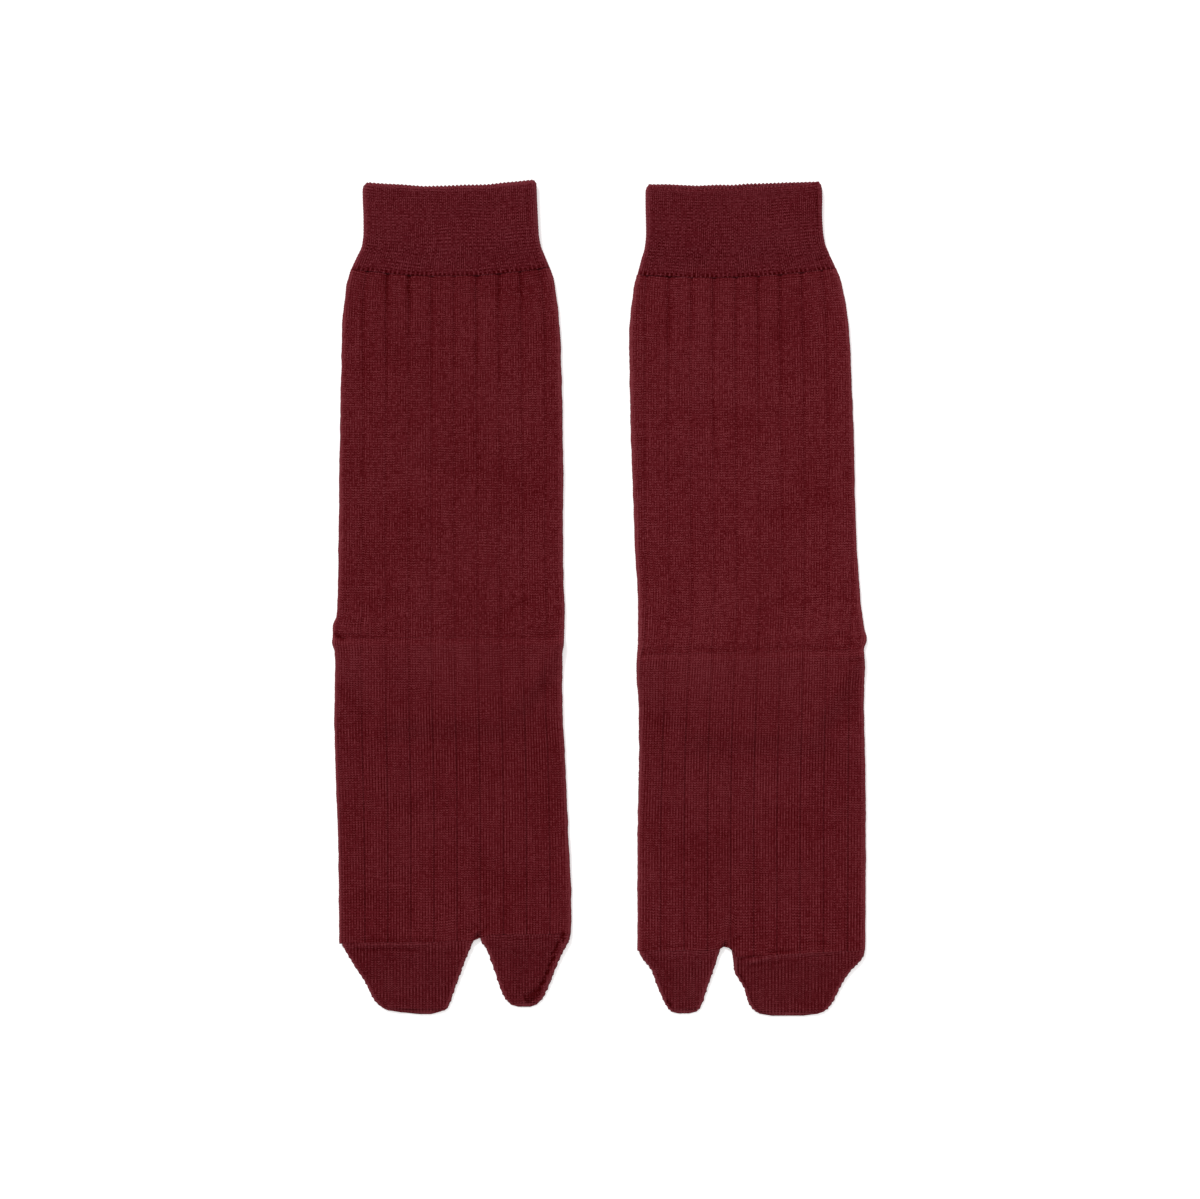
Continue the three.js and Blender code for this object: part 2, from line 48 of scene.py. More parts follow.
# The pair, in millimetres
MM = 0.001
LENGTH = 375.4
SOCK_SPACING = 134.6
PHOTO_WIDTH = 540.0  # what the photograph's 1200 pixels cover
PHOTO_CENTRE = (-0.05, -0.8)
CAMERA_LENS = 85.0
CAMERA_SENSOR = 36.0

# Cloth
WALL = 1.0
BODY_THICK = 2.7
CUFF_THICK = 4.2
CUFF_WALL = 1.8
POUCH_THICK = 2.2
LIFT = 2.5  # of the foot where it lies on the heel pouch
TIP_THICK = 1.5  # of a toe pocket

# Wide ribs of the leg and foot
RIBS_ROUND = 20
WALES_A_RIB = 9  # eight that show and one that sinks into the groove
DENSE_RIBS = 12  # ribs that get two columns a wale, the front and a little past each fold
COLUMNS_DENSE = 2 * WALES_A_RIB
COLUMNS_SPARSE = WALES_A_RIB
EDGE_FIT_RIBS = 2.4  # ribs beside a fold that are fitted to the outline
RIB_PITCH = 10.1
RIB_HEIGHT = 0.2
GATHER_DEPTH = 0.42
GATHER_HALF = 1.3
GATHER_LENGTH = 60.0
CUFF_JOIN = 0.25  # how much higher the leg stands at the cuff
FOOT_FROM, FOOT_TO = 165.0, 125.0  # levels between which the leg's knit turns into the foot's
TICK_LENGTH = 1.6  # of the picked-up stitches where the cuff joins the leg

# Heel pouch, folded under the foot towards the toes
POUCH_DEPTH = 35.0
POUCH_START = 2.3  # below the ankle line
POUCH_TIP_HALF = 25.0
POUCH_MARGIN = 1.0  # in from the sock's edge at the ankle
POUCH_SLOPE = 7.0  # over which the cloth comes down beside it, and how much more in front
FRONT_SLOPE = 6.0
POUCH_ROUND = 2.0  # of its corners at the ankle and at the tip
TIP_ROUND = 9.0
# Heights up its edge and how far the edge is drawn in there: two rounded layers and a groove
POUCH_PROFILE = (
    (0.02, 3.0), (0.0, 0.9), (0.12, 0.3), (0.4, 0.0), (0.8, 0.05), (1.02, 0.45), (1.1, 0.7),
    (1.18, 0.45), (1.4, 0.05), (1.8, 0.0), (2.08, 0.3), (POUCH_THICK, 0.9), (POUCH_THICK, 3.0),
)


def table(columns, text):
    """Rows of numbers as one array for each named column. A line or a / ends a row, and a row may
    leave out zeros at its end."""
    names = columns.split()
    rows = [row.split() for row in text.strip().replace("/", "\n").splitlines()]
    filled = [row + ["0"] * (len(names) - len(row)) for row in rows]
    return {name: np.array(values, float) for name, values in zip(names, zip(*filled))}


def pocket(name, side, wale, link, rows):
    """A toe pocket: the side of the crotch that it lies on, the width of its wales, its linked
    slopes as the edge, the distance in from it and the depth, and its edges down to the tip."""
    rows = table("y left right", rows)
    return SimpleNamespace(name=name, side=side, wale=wale, link=link, rows=rows)


RIGHT = SimpleNamespace(
    # Right and left are the wearer's
    name="right",
    side=-1,
    seed=3,
    # How far the front's rim sags below the back's
    rim_dip=0.3,
    # How far the rim's two corners are rounded off
    corner=0.95,
    # How strong the painted highlight on the front's rim is, and the painted shade in the gap at its lip
    lip_highlight=0.8,
    lip_shade=0,
    # How far the rim hangs lower at x
    rim_line=table("dip x", """
    0.5 -37 / 0.6 -22 / 1.2 -12 / 0.9 -1 / 0.65 6 / 0.8 17 / 0.3 24 / 0.1 36
    """),
    # How strong the gather in each groove is, by the groove's place in ribs
    gathers=(
        [-5, -4, -3, -2, -1, 0, 1, 2, 3, 4, 5],
        [0.6, 0.7, 1.1, 1.3, 0.6, 0.3, 1, 0.9, 0.8, 0.5, 0.6],
    ),
    # Edges of the cuff at a level, the sag of its middle and the tilt to its right edge
    cuff=table("y left right sag tilt", """
    375 -38.3 38.3 1.2 0.4
    371 -39.1 38.5 1.2 0.3
    352 -38.7 39.4 1.6 0
    346 -39.4 40.4 2.2 0
    341 -41.8 42.2 3 0.3
    335.65 -44.4 44.4 3.6 0.45
    """),
    # The same for the leg and foot, with the place of rib 0, the ribs' pitch and the ribs at the folds
    body=table("y left right sag tilt groove pitch fold_left fold_right", """
    335.65 -44.4 44.4 3.6 0.45 1.8 10.1 -4.85 4.55
    327 -46.8 46.9 2.8 0.3 1.8 10.1 -4.9 4.6
    304 -48.7 49.1 1 0 1.8 10.1 -5 4.7
    259 -49.5 50.3 0 0 1.9 10.2 -5.1 4.8
    205 -50 50.4 0 0 2 10.3 -5.15 4.8
    180 -50.9 51.1 0 0 2.2 10.3 -5.2 4.8
    174 -52.7 50.9 0 0 2.2 10.3 -5.25 4.8
    168 -52.7 50.8 0 0 2.2 10.3 -5.25 4.8
    163 -51.5 50.4 0 0 2.3 10.3 -5.2 4.8
    146 -51.7 50 0 0 2.5 10.35 -5.2 4.8
    135 -51.9 50.2 0 0 2.6 10.4 -5.2 4.8
    120 -51.6 51.1 0 0 2.8 10.4 -5.2 4.8
    84 -50.4 52.6 0 0 3.2 10.4 -5.2 4.85
    47 -49.75 54.2 0 0 3.2 10.4 -5.2 4.95
    35.4 -49.65 53.9 0 0 3.2 10.4 -5.2 4.95
    32.2 -48.9 53.6 0 0 3.2 10.4 -5.2 4.95
    """),
    # Level of the fold at the ankle and its tilt
    ankle=(170, 0),
    # Where the two pockets part, as x and y
    crotch=(12.6, 35.4),
    # The toe line as x, y from the left edge to the right
    toe_line=table("y x", """
    32.4 -52 / 33 -10 / 33.6 10.4 / 34.8 11.9 / 35.1 12.8 / 34.9 13.8 / 35.6 16 / 36.2 20 / 36.6 56
    """),
    pockets=[
        pocket("toes", -1, 1.46, [("left", 1.8, 0.15), ("right", 1.8, 0.15)], """
    36 -50 12.2 / 34.8 -49.9 11.9 / 32.4 -48.85 10.5 / 31 -48.2 9.7 / 24 -43.9 6.3 / 14 -37.6 2.5
    7 -33.9 0.1 / 3.4 -29.7 -1.7 / 1.8 -22 -5.2 / 0.9 -14 -9
    """),
        pocket("big_toe", 1, 1.32, [("left", 1.8, 0.12)], """
    38 13.2 54 / 34.8 14 53.5 / 31 16.2 51.6 / 24 18.7 48.2 / 14 22 44.3 / 8.6 24.4 41.9
    5.4 27.4 38.7 / 4.2 30.6 35.8
    """),
    ],
    # Soft troughs in the front, with their two ends, the bow of their middle, half width and
    # depth, which is below 0 for a ridge, and the length of a stroke in a broken one
    creases=table("x0 y0 x1 y1 bow half depth tick", """
    -54 170.6 -30 169.8 0 1.1 0.22
    -34 169.8 -6 168.6 -0.6 1.4 0.16
    -10 168.8 30 169.4 0.8 1.6 0.1
    26 169.4 51 171.6 0.3 1.4 0.1
    -53 172.6 -47 169 -0.6 0.7 0.6
    18 176 40 186 2 2.6 0.25
    -40 182 -18 192 -2 3 0.22
    40 150 51 139 1 2.4 0.25
    -52 148 -38 131 1.5 2.6 0.25
    -30 90 2 96 2 4.5 0.18
    8 66 44 60 -2 5 0.18
    -46 52 -12 46 1 4 0.2
    -20 246 30 240 2 6 0.2
    -44 288 -8 296 1 5 0.2
    -43 32 -5 32.4 0 0.6 -0.45 4.7
    -45 33.8 -4 33.9 0 0.9 0.2
    -46 29.8 -11 29.6 0 0.8 0.45 2.3
    22 36 50 36.4 0.2 0.7 -0.15 4.3
    20 34.2 48 34.4 0.2 0.8 0.12
    51.4 38.6 47.6 30.4 0 0.9 0.18
    48.2 31.4 43 18 0.3 0.9 0.2
    43.6 19.4 40.2 12 0 0.9 0.2
    51.4 37.2 49.6 34.8 0 0.6 1.1
    51.8 35.2 50.2 32.9 0 0.5 0.7
    49.1 33.3 47.5 31.2 0 0.5 0.6
    48.1 31.2 46.5 28.8 0 0.5 0.6
    46.5 28.7 45 27 0 0.5 0.5
    47.4 26.6 45.2 24.4 0 0.5 1.1
    45.2 23.8 44 22 0 0.5 0.7
    44.1 20.6 42.9 18.2 0 0.6 1.2
    43 17.4 42.1 16.2 0 0.5 0.5
    42.9 15.9 40.2 13.7 0 0.6 1
    40.7 12.5 39 10.2 0 0.6 1
    40.4 11.6 33 7.2 0.5 1.3 2.6 1.3
    53.6 37 49.6 28 0 0.9 -0.35 2.4
    50 28.8 45.2 17.6 0 0.8 -0.3 2.4
    45.4 18.4 41.2 9.6 0 0.8 -0.25 2.4
    34.6 373.4 34.9 353 0 0.6 0.28 3
    8 37.5 13 40.5 0 0.9 0.3
    13.5 37 17.5 40 0 0.8 0.25
    """),
)

LEFT = SimpleNamespace(
    name="left",
    side=1,
    seed=11,
    rim_dip=1.9,
    corner=0.55,
    lip_highlight=0.35,
    lip_shade=0.5,
    rim_line=table("dip x", """
    0.9 -45 / 0.7 -37 / 1.1 -23 / 0.6 -15 / 0.7 -8 / 0.2 -1 / 0.2 16 / 0.5 30
    """),
    gathers=(
        [-5, -4, -3, -2, -1, 0, 1, 2, 3, 4, 5],
        [0.4, 0.45, 0.65, 0.7, 0.9, 0.55, 0.8, 0.75, 0.6, 0.4, 0.45],
    ),
    cuff=table("y left right sag tilt", """
    374.8 -45.6 31.2 0.8 0.4
    371 -46.7 32 0.8 0.4
    352 -46.4 32.5 1.5 0.9
    346 -47 33.4 1.9 1.1
    341 -48.5 35.5 2.3 1.3
    334.2 -50.4 38.4 2.6 1.45
    """),
    body=table("y left right sag tilt groove pitch fold_left fold_right", """
    334.2 -50.4 38.4 2.6 1.45 -6.3 10 -4.5 4.75
    327 -52.1 41.2 2.2 1.2 -6.3 10 -4.6 4.9
    304 -54 44.7 1 0.5 -6.3 10.1 -4.75 5
    277 -53.6 45.9 0 0 -6.2 10.2 -4.7 5.1
    223 -51.9 47.3 0 0 -5.8 10.2 -4.55 5.2
    205 -51.1 48.2 0 0.1 -5.7 10.15 -4.5 5.3
    196 -50.55 48.8 0 0.2 -5.6 10.1 -4.5 5.35
    187 -49.9 49.4 0 0.3 -5.6 10.1 -4.45 5.4
    174 -49.9 51.1 0 0.8 -6 10.1 -4.4 5.6
    168 -49.9 52.2 0 1.1 -6.3 10.2 -4.35 5.7
    163 -50.6 51 0 1.1 -6.6 10.2 -4.3 5.7
    155 -50.8 51.4 0 0.9 -7 10.25 -4.25 5.7
    146 -50.2 50.9 0 0.6 -7.4 10.3 -4.2 5.7
    135 -49.6 51.1 0 0.3 -7.8 10.35 -4.15 5.7
    120 -49.6 51.5 0 0 -8.2 10.4 -4.1 5.75
    80 -50.3 51.9 0 0 -8.6 10.4 -4.05 5.8
    31.8 -50.4 51.6 0 0 -8.6 10.4 -4.05 5.8
    """),
    ankle=(163.6, 1.1),
    crotch=(-11, 31.8),
    toe_line=table("y x", """
    29 -52 / 29.2 -16 / 30 -13.6 / 31.4 -11 / 30 -8.4 / 26 -5.6 / 27.4 16 / 29.4 54
    """),
    pockets=[
        pocket("big_toe", -1, 1.4, [("left", 1.8, 0.25), ("right", 1.5, 0.15)], """
    33 -50.3 -12.2 / 31.2 -50.3 -12.5 / 27 -48.7 -14.2 / 20 -43.9 -16.6 / 12.4 -41 -19.3
    5.4 -37.9 -21.6 / 2.4 -35.4 -23.6 / 1.2 -32 -27.2
    """),
        pocket("toes", 1, 1.5, [("left", 1.6, 0.45), ("right", 1.6, 0.15)], """
    33 -9.5 51.7 / 31.2 -9 51.7 / 27 -7.4 51 / 20.6 -6.9 45.5 / 16.6 -4.9 42.6 / 12.4 -2.5 40.2
    5.4 -0.1 36.6 / 2.4 2.4 33.6 / 0.9 5.6 29 / 0.2 10 24
    """),
    ],
    creases=table("x0 y0 x1 y1 bow half depth tick", """
    -52 162.4 -14 164.4 0.6 1.5 0.18
    -20 164 14 164.4 -0.5 1.7 0.2
    8 164.4 34 164.6 0.3 1.6 0.18
    28 164.6 53 165.4 -0.3 1.5 0.24
    38 172 47 165.6 1 1.6 0.4
    44 158.6 53 160.6 0.4 0.9 0.3
    -48 176 -26 184 -1.5 3 0.22
    2 178 24 190 2 3 0.22
    -50 140 -36 126 1 2.6 0.25
    36 128 52 140 -1 2.6 0.25
    -36 74 -4 80 2 5 0.18
    6 92 44 84 -2 5 0.18
    -40 270 6 262 2 6 0.2
    2 226 40 234 -2 6 0.2
    -3 22.8 14 27 0.5 0.8 -0.5 5.2
    10 26.6 42 29 0.2 0.7 -0.46 6.1
    -1 22.4 15 23.8 0.2 0.8 0.3 2.9
    7 28.3 20 28.9 0.2 0.55 0.55 2.2
    14 24.9 46 27.4 0.3 0.7 0.12
    -37.6 6.6 -35.2 3.8 0 0.8 0.9
    -49.8 29.4 -40.6 19.2 0.3 0.7 -0.3 2.9
    -48 30 -42 24.2 0.3 0.6 0.3 2.3
    29.9 373.6 30.4 351 0 0.5 0.36
    30.2 353 35.2 341 -0.4 0.5 0.3 3.3
    28.3 338.8 36.4 341.5 0 0.7 0.5 2
    -6 24.6 6 27.2 0.3 0.8 0.35
    24 35.4 41 33 0.2 0.6 -0.2 3.7
    22 33.6 40 31.6 0.2 0.9 0.18
    -48 28.9 -20 29.6 0.2 0.5 -0.15 4.1
    -48 30.4 -22 31 0.2 0.7 0.16
    -5.6 20 0.6 6 0.4 0.6 0.55 2.7
    -8 33 -3 36.5 0 0.9 0.3
    """),
)

# Stitches: width of a wale and height of a course in each part
CUFF_WALE = 0.88
CUFF_COURSE = 1.35
LEG_COURSE = 1.09
FOOT_COURSE = 1.06
TOE_WALE = 1.44
TOE_COURSE = 1.06

# Relief of the knit: how high its ridges and how deep its valleys are
COURSE_RELIEF = 0.07
WALE_RELIEF = {"leg": 0.07, "foot": 0.12, "cuff": 0.08, "toe": 0.12}
STITCH_LEAN = 0.42  # how far the middle of a stitch hangs below its sides, in courses

# Painted shade and highlight: how much darker a millimetre of crease is, more in narrow ones, how much
# paler a fold or rim is painted where it catches the light, and how far in
CREASE_SHADE = 0.5
NARROW_SHADE = 0.9
CREASE_LIMIT = 0.45
RIM_HIGHLIGHT = 1.0
RIM_HIGHLIGHT_REACH = 1.3
FUZZ = 0.28  # how far loose fibres fill out the outline
TIP_FUZZ = 0.5  # the same at the tip of a toe pocket

# Colours of the cuff, leg, foot, toes and heel as display values out of 255, and how far the
# darkest and lightest tones, of the yarn and of painted shade and highlight, lie from them
KNIT_COLOURS = {
    "right": [(87, 21, 28), (89, 21, 27), (87, 20, 26), (82, 18, 24), (88, 20, 26)],
    "left": [(86, 20, 27), (92, 23, 29), (88, 21, 27), (83, 19, 25), (89, 21, 27)],
}
TONE_SPREAD = 26
LIGHT_LEVEL = 1.05  # what a flat white surface gives back in this light
ROOM_LIGHT = 0.7
FLOOR_GLOW = 0.36
SUN_ENERGY = 1.6
SUN_ANGLE = 16  # degrees, as are the turns
SUN_TURN = (-47, 0, 28)

# Contrast of the knit in each part: lines between wales, lines along courses, slanted lines,
# single stitches, streaks up the wales, streaks along the courses, mottling. The lines between wales
# and along courses are painted shade in the valleys between stitches and painted highlight on their
# crests. The foot's two kinds of lines start out as those above it.
KNIT_CONTRAST = {
    "cuff": (0.17, 0.13, 0.08, 0.6, 0.1, 0.06, 0.8),
    "leg": (0.12, 0.19, 0.06, 0.58, 0.14, 0.1, 0.7),
    "foot": (0.19, 0.18, 0.05, 0.42, 0.18, 0.1, 0.55),
    "toe": (0.17, 0.2, 0.06, 0.42, 0.18, 0.1, 0.5),
    "heel": (0.2, 0.14, 0.05, 0.4, 0.18, 0.1, 0.5),
}
ABOVE_FOOT = (0.17, 0.19)


def smooth01(t):
    t = np.clip(t, 0.0, 1.0)
    return t * t * (3.0 - 2.0 * t)


def ease(start, end, value):
    """0 up to start, 1 past end, and a soft change between them."""
    return smooth01((np.asarray(value, float) - start) / (end - start))


def curve(rows, column, y):
    """A column of a table at heights y, on one smooth curve through its rows, which run downwards."""
    ys = rows["y"][::-1]
    values = rows[column][::-1]
    y = np.clip(np.asarray(y, float), ys[0], ys[-1])
    secants = np.diff(values) / np.diff(ys)
    slopes = np.empty_like(values)
    slopes[0], slopes[-1] = secants[0], secants[-1]
    before, after = secants[:-1], secants[1:]
    same = before * after > 0
    total = np.where(same, before + after, 1.0)
    slopes[1:-1] = np.where(same, 2.0 * before * after / total, 0.0)
    i = np.clip(np.searchsorted(ys, y, side="right") - 1, 0, len(ys) - 2)
    step = ys[i + 1] - ys[i]
    t = (y - ys[i]) / step
    return (
        values[i] * (1 + 2 * t) * (1 - t) ** 2
        + slopes[i] * step * t * (1 - t) ** 2
        + values[i + 1] * t * t * (3 - 2 * t)
        + slopes[i + 1] * step * t * t * (t - 1)
    )


def edges(rows, level, inset=0.0):
    """Where a table's left and right edges lie at a level, drawn in by inset."""
    return curve(rows, "left", level) + inset, curve(rows, "right", level) - inset


def facing_up(nz):
    """1 on the front, 0 on the back, with a soft change round the fold."""
    return smooth01((0.5 + 0.5 * nz) * 1.6 - 0.3)


def from_ends(row):
    """0 at the first and last row of a piece, and 1 from the fifth row in."""
    return np.minimum(np.minimum(row, len(row) - 1 - row), 4) / 4.0


def bell(distance, half):
    """1 at no distance, and soft down to 0 on both sides."""
    return np.exp(-((distance / half) ** 2))


def closed(u, gain=0.0):
    """Stitch coordinates round a ring, with the first once more at the end, further on by gain."""
    return np.concatenate([u, u[..., :1] + gain], axis=-1)


def soft_noise(x, y, wavelength, seed):
    """A smooth, seeded, uneven surface between about -1 and 1, from a few crossed waves."""
    draw = np.random.default_rng(seed)
    total = np.zeros(np.broadcast(x, y).shape)
    waves = 7
    for _ in range(waves):
        turn = draw.uniform(0, TURN)
        length = wavelength * draw.uniform(0.7, 1.5)
        phase = draw.uniform(0, TURN)
        total += np.sin(TURN * (x * math.cos(turn) + y * math.sin(turn)) / length + phase)
    return total / math.sqrt(waves * 2)


def swelling(sock, x, y):
    """Slow uneven height of the cloth."""
    return 0.16 * soft_noise(x, y, 34.0, sock.seed) + 0.05 * soft_noise(x, y, 9.0, sock.seed + 7)


def pouch_half(sock, depth):
    """Half the width of the folded heel pouch at a depth below the ankle line."""
    left, right = edges(sock.body, sock.ankle[0])
    share = np.clip(np.asarray(depth, float) / POUCH_DEPTH, 0, 1)
    return ((right - left) / 2 - POUCH_MARGIN) * (1 - share) + POUCH_TIP_HALF * share


def ankle_middle(sock):
    """The middle of the sock at the ankle line."""
    left, right = edges(sock.body, sock.ankle[0])
    return (right + left) / 2


def lift_at(sock, x, level, front):
    """How far the cloth lies above the floor, where it passes over the heel pouch. The front
    (1, the back 0) bends more softly."""
    depth = sock.ankle[0] - level
    slope = POUCH_SLOPE + FRONT_SLOPE * front
    climb = ease(0.0, 2.2, depth) * (1 - front) + ease(-0.8, 3.2, depth) * front
    descend = 1 - ease(POUCH_DEPTH + 1 - front, POUCH_DEPTH + 1 - front + slope, depth)
    outside = np.abs(x - ankle_middle(sock)) - pouch_half(sock, depth)
    return LIFT * climb * descend * (1 - smooth01((outside - 1 + front) / slope))


def painted_rim_highlight(off):
    """A painted highlight at a distance in from the outline, where the folds catch the light, as a
    negative shade.
    """
    return -RIM_HIGHLIGHT * bell(np.maximum(off, 0.0), RIM_HIGHLIGHT_REACH)


def creased(sock, x, y):
    """Depth of the soft troughs at points of the front, and their painted shade, darker in narrow ones,
    which let in less light; a ridge (depth below 0) gets a painted highlight. A trough with a tick is
    broken into uneven strokes of that length."""
    depth = np.zeros(np.broadcast(x, y).shape)
    dark = np.zeros_like(depth)
    rows = sock.creases
    for i in range(len(rows["x0"])):
        x0, y0, x1, y1 = (rows[name][i] for name in ("x0", "y0", "x1", "y1"))
        length = math.hypot(x1 - x0, y1 - y0)
        along = ((x - x0) * (x1 - x0) + (y - y0) * (y1 - y0)) / length**2
        across = ((y - y0) * (x1 - x0) - (x - x0) * (y1 - y0)) / length
        across = across - rows["bow"][i] * (1 - (2 * along - 1) ** 2)
        fade = ease(-0.02, 0.16, along) * (1 - ease(0.84, 1.02, along))
        if rows["tick"][i]:
            beat = TURN * along * length / rows["tick"][i]
            fade = fade * (0.58 + 0.3 * np.cos(beat) + 0.26 * np.cos(2.7 * beat + 1.3))
        half = rows["half"][i]
        trough = rows["depth"][i] * fade * bell(across, half)
        depth += trough
        dark += trough * (CREASE_SHADE + NARROW_SHADE * math.exp(-(half**2)))
    return np.clip(depth, -CREASE_LIMIT, CREASE_LIMIT), np.clip(dark, -1.0, 1.1)


def rolled(unrolled, back, left, right, thick):
    """Points of a flattened tube's section from their places on its unrolled front or back:
    x, z and the outward direction there."""
    radius = thick / 2
    low, high = left + radius, right - radius
    turn = np.where(unrolled < low, (low - unrolled) / radius, 0.0)
    turn = np.where(unrolled > high, (unrolled - high) / radius, turn)
    turn = np.minimum(turn, math.pi / 2)
    way = np.where(unrolled < low, -1.0, 1.0)
    up = np.where(back, -1.0, 1.0)
    nx = way * np.sin(turn)
    nz = up * np.cos(turn)
    x = np.clip(unrolled, low, high) + radius * nx
    z = radius + radius * nz
    return x, z, nx, nz


def unrolled_ends(left, right, thick):
    """Where the front of a flattened tube starts and ends, with its two folds unrolled."""
    reach = (math.pi / 2 - 1) * thick / 2
    return left - reach, right + reach


def flat_tube(share, left, right, thick):
    """Points round a flattened tube, at shares from 0 to 1 on the front and 1 to 2 on the back."""
    start, end = unrolled_ends(left, right, thick)
    back = share >= 1
    unrolled = np.where(back, end + (start - end) * (share - 1), start + (end - start) * share)
    return rolled(unrolled, back, left, right, thick)


def shares_round(front_count, back_count):
    """Shares for flat_tube, evenly spaced on the front and on the back."""
    return np.concatenate([np.arange(front_count) / front_count, 1 + np.arange(back_count) / back_count])


def rib_columns():
    """The leg's and foot's columns: place round the tube in ribs, wale coordinate, how deep each
    lies in a groove (1 at its bottom), and whether it runs up the middle of a wale."""
    places, wales, grooves, middles = [], [], [], []
    first = -(DENSE_RIBS // 2)
    for rib in range(first, first + RIBS_ROUND):
        dense = rib < first + DENSE_RIBS
        count = COLUMNS_DENSE if dense else COLUMNS_SPARSE
        for j in range(count):
            step = j if dense else 2 * j
            wales.append(rib * WALES_A_RIB + step / 2)
            places.append((rib, step))
            grooves.append({0: 1.0, 1: 0.35, COLUMNS_DENSE - 1: 0.35}.get(step, 0.0))
            middles.append(float(step % 2 == 0 and step > 0))
    return places, np.array(wales), np.array(grooves), np.array(middles)


PLACES, WALES, GROOVES, MIDDLES = rib_columns()
WALES_ROUND = RIBS_ROUND * WALES_A_RIB
INNER_STEP = 3  # the plain inside keeps three columns of each rib
INNER_COLUMNS = np.array([i for i, (_, step) in enumerate(PLACES) if step % (2 * INNER_STEP) == 0], int)


def rib_positions(level):
    """Each column's place round the tube in ribs, at levels given as a column vector."""
    groove_share = 0.008 + 0.032 * ease(FOOT_TO, FOOT_FROM, level)
    rib = np.array([place[0] for place in PLACES], float)
    step = np.array([place[1] for place in PLACES], float)
    inside = (step - 1) / (COLUMNS_DENSE - 2)
    spread = groove_share + (1 - 2 * groove_share) * inside
    return rib + np.where(step == 0, 0.0, spread)


def tube_section(sock, level, ribs, thick, inset):
    """Base points of the leg and foot, out at its face (inset 0) or in at its lining."""
    body = sock.body
    left, right = edges(body, level, inset)
    groove, pitch = curve(body, "groove", level), curve(body, "pitch", level)
    fold_left, fold_right = curve(body, "fold_left", level), curve(body, "fold_right", level)
    ribs = fold_left + np.mod(ribs - fold_left, RIBS_ROUND)
    back = ribs > fold_right
    start, end = unrolled_ends(left, right, thick)
    near_left = smooth01(1 - (ribs - fold_left) / EDGE_FIT_RIBS)
    near_right = smooth01(1 - (fold_right - ribs) / EDGE_FIT_RIBS)
    front_x = groove + ribs * pitch
    front_x = front_x + (start - groove - fold_left * pitch) * near_left
    front_x = front_x + (end - groove - fold_right * pitch) * near_right
    share = (ribs - fold_right) / (RIBS_ROUND - (fold_right - fold_left))
    back_x = end + (start - end) * share
    return rolled(np.where(back, back_x, front_x), back, left, right, thick)


def end_level(sock, x):
    """Where the foot ends at x: the toe line, which climbs to the crotch between the pockets."""
    line = sock.toe_line
    wander = 0.25 * soft_noise(x, 0.0, 4.0, sock.seed + 12)
    return np.interp(x, line["x"], line["y"]) + wander


def place_body(sock, x, z, level, front):
    """Puts section points at their level, with its sag, tilt and lift."""
    body = sock.body
    left, right = edges(body, level)
    across = np.clip((2 * x - left - right) / (right - left), -1, 1)
    y = level - curve(body, "sag", level) * (1 - across**2) + curve(body, "tilt", level) * across
    crotch_x, end = sock.crotch
    ending = ease(24.0, 0.0, level - end)
    y = y + ending * (end_level(sock, x) - end)
    pinch = bell(x - crotch_x, 1.3) * ease(3.0, 0.0, level - end)
    return y, z * (1 - 0.8 * pinch) + lift_at(sock, x, level, front)


def body_levels(sock):
    """Levels of the leg's and foot's rows, two a course, and the row at the ankle line."""
    top, ankle, end = sock.body["y"][0], sock.ankle[0], sock.crotch[1]
    leg = np.linspace(top, ankle, 2 * round((top - ankle) / LEG_COURSE) + 1)
    foot = np.linspace(ankle, end, 2 * round((ankle - end) / FOOT_COURSE) + 1)
    return np.concatenate([leg, foot[1:]]), len(leg) - 1


def knit_relief(middle, row, wale_relief):
    """Height of a stitch: ridges along the courses, valleys between the wales."""
    ridge = np.where(row % 2 == 0, 1.0, -1.0)
    return COURSE_RELIEF * ridge * (0.55 + 0.45 * middle) - wale_relief * (1 - middle)


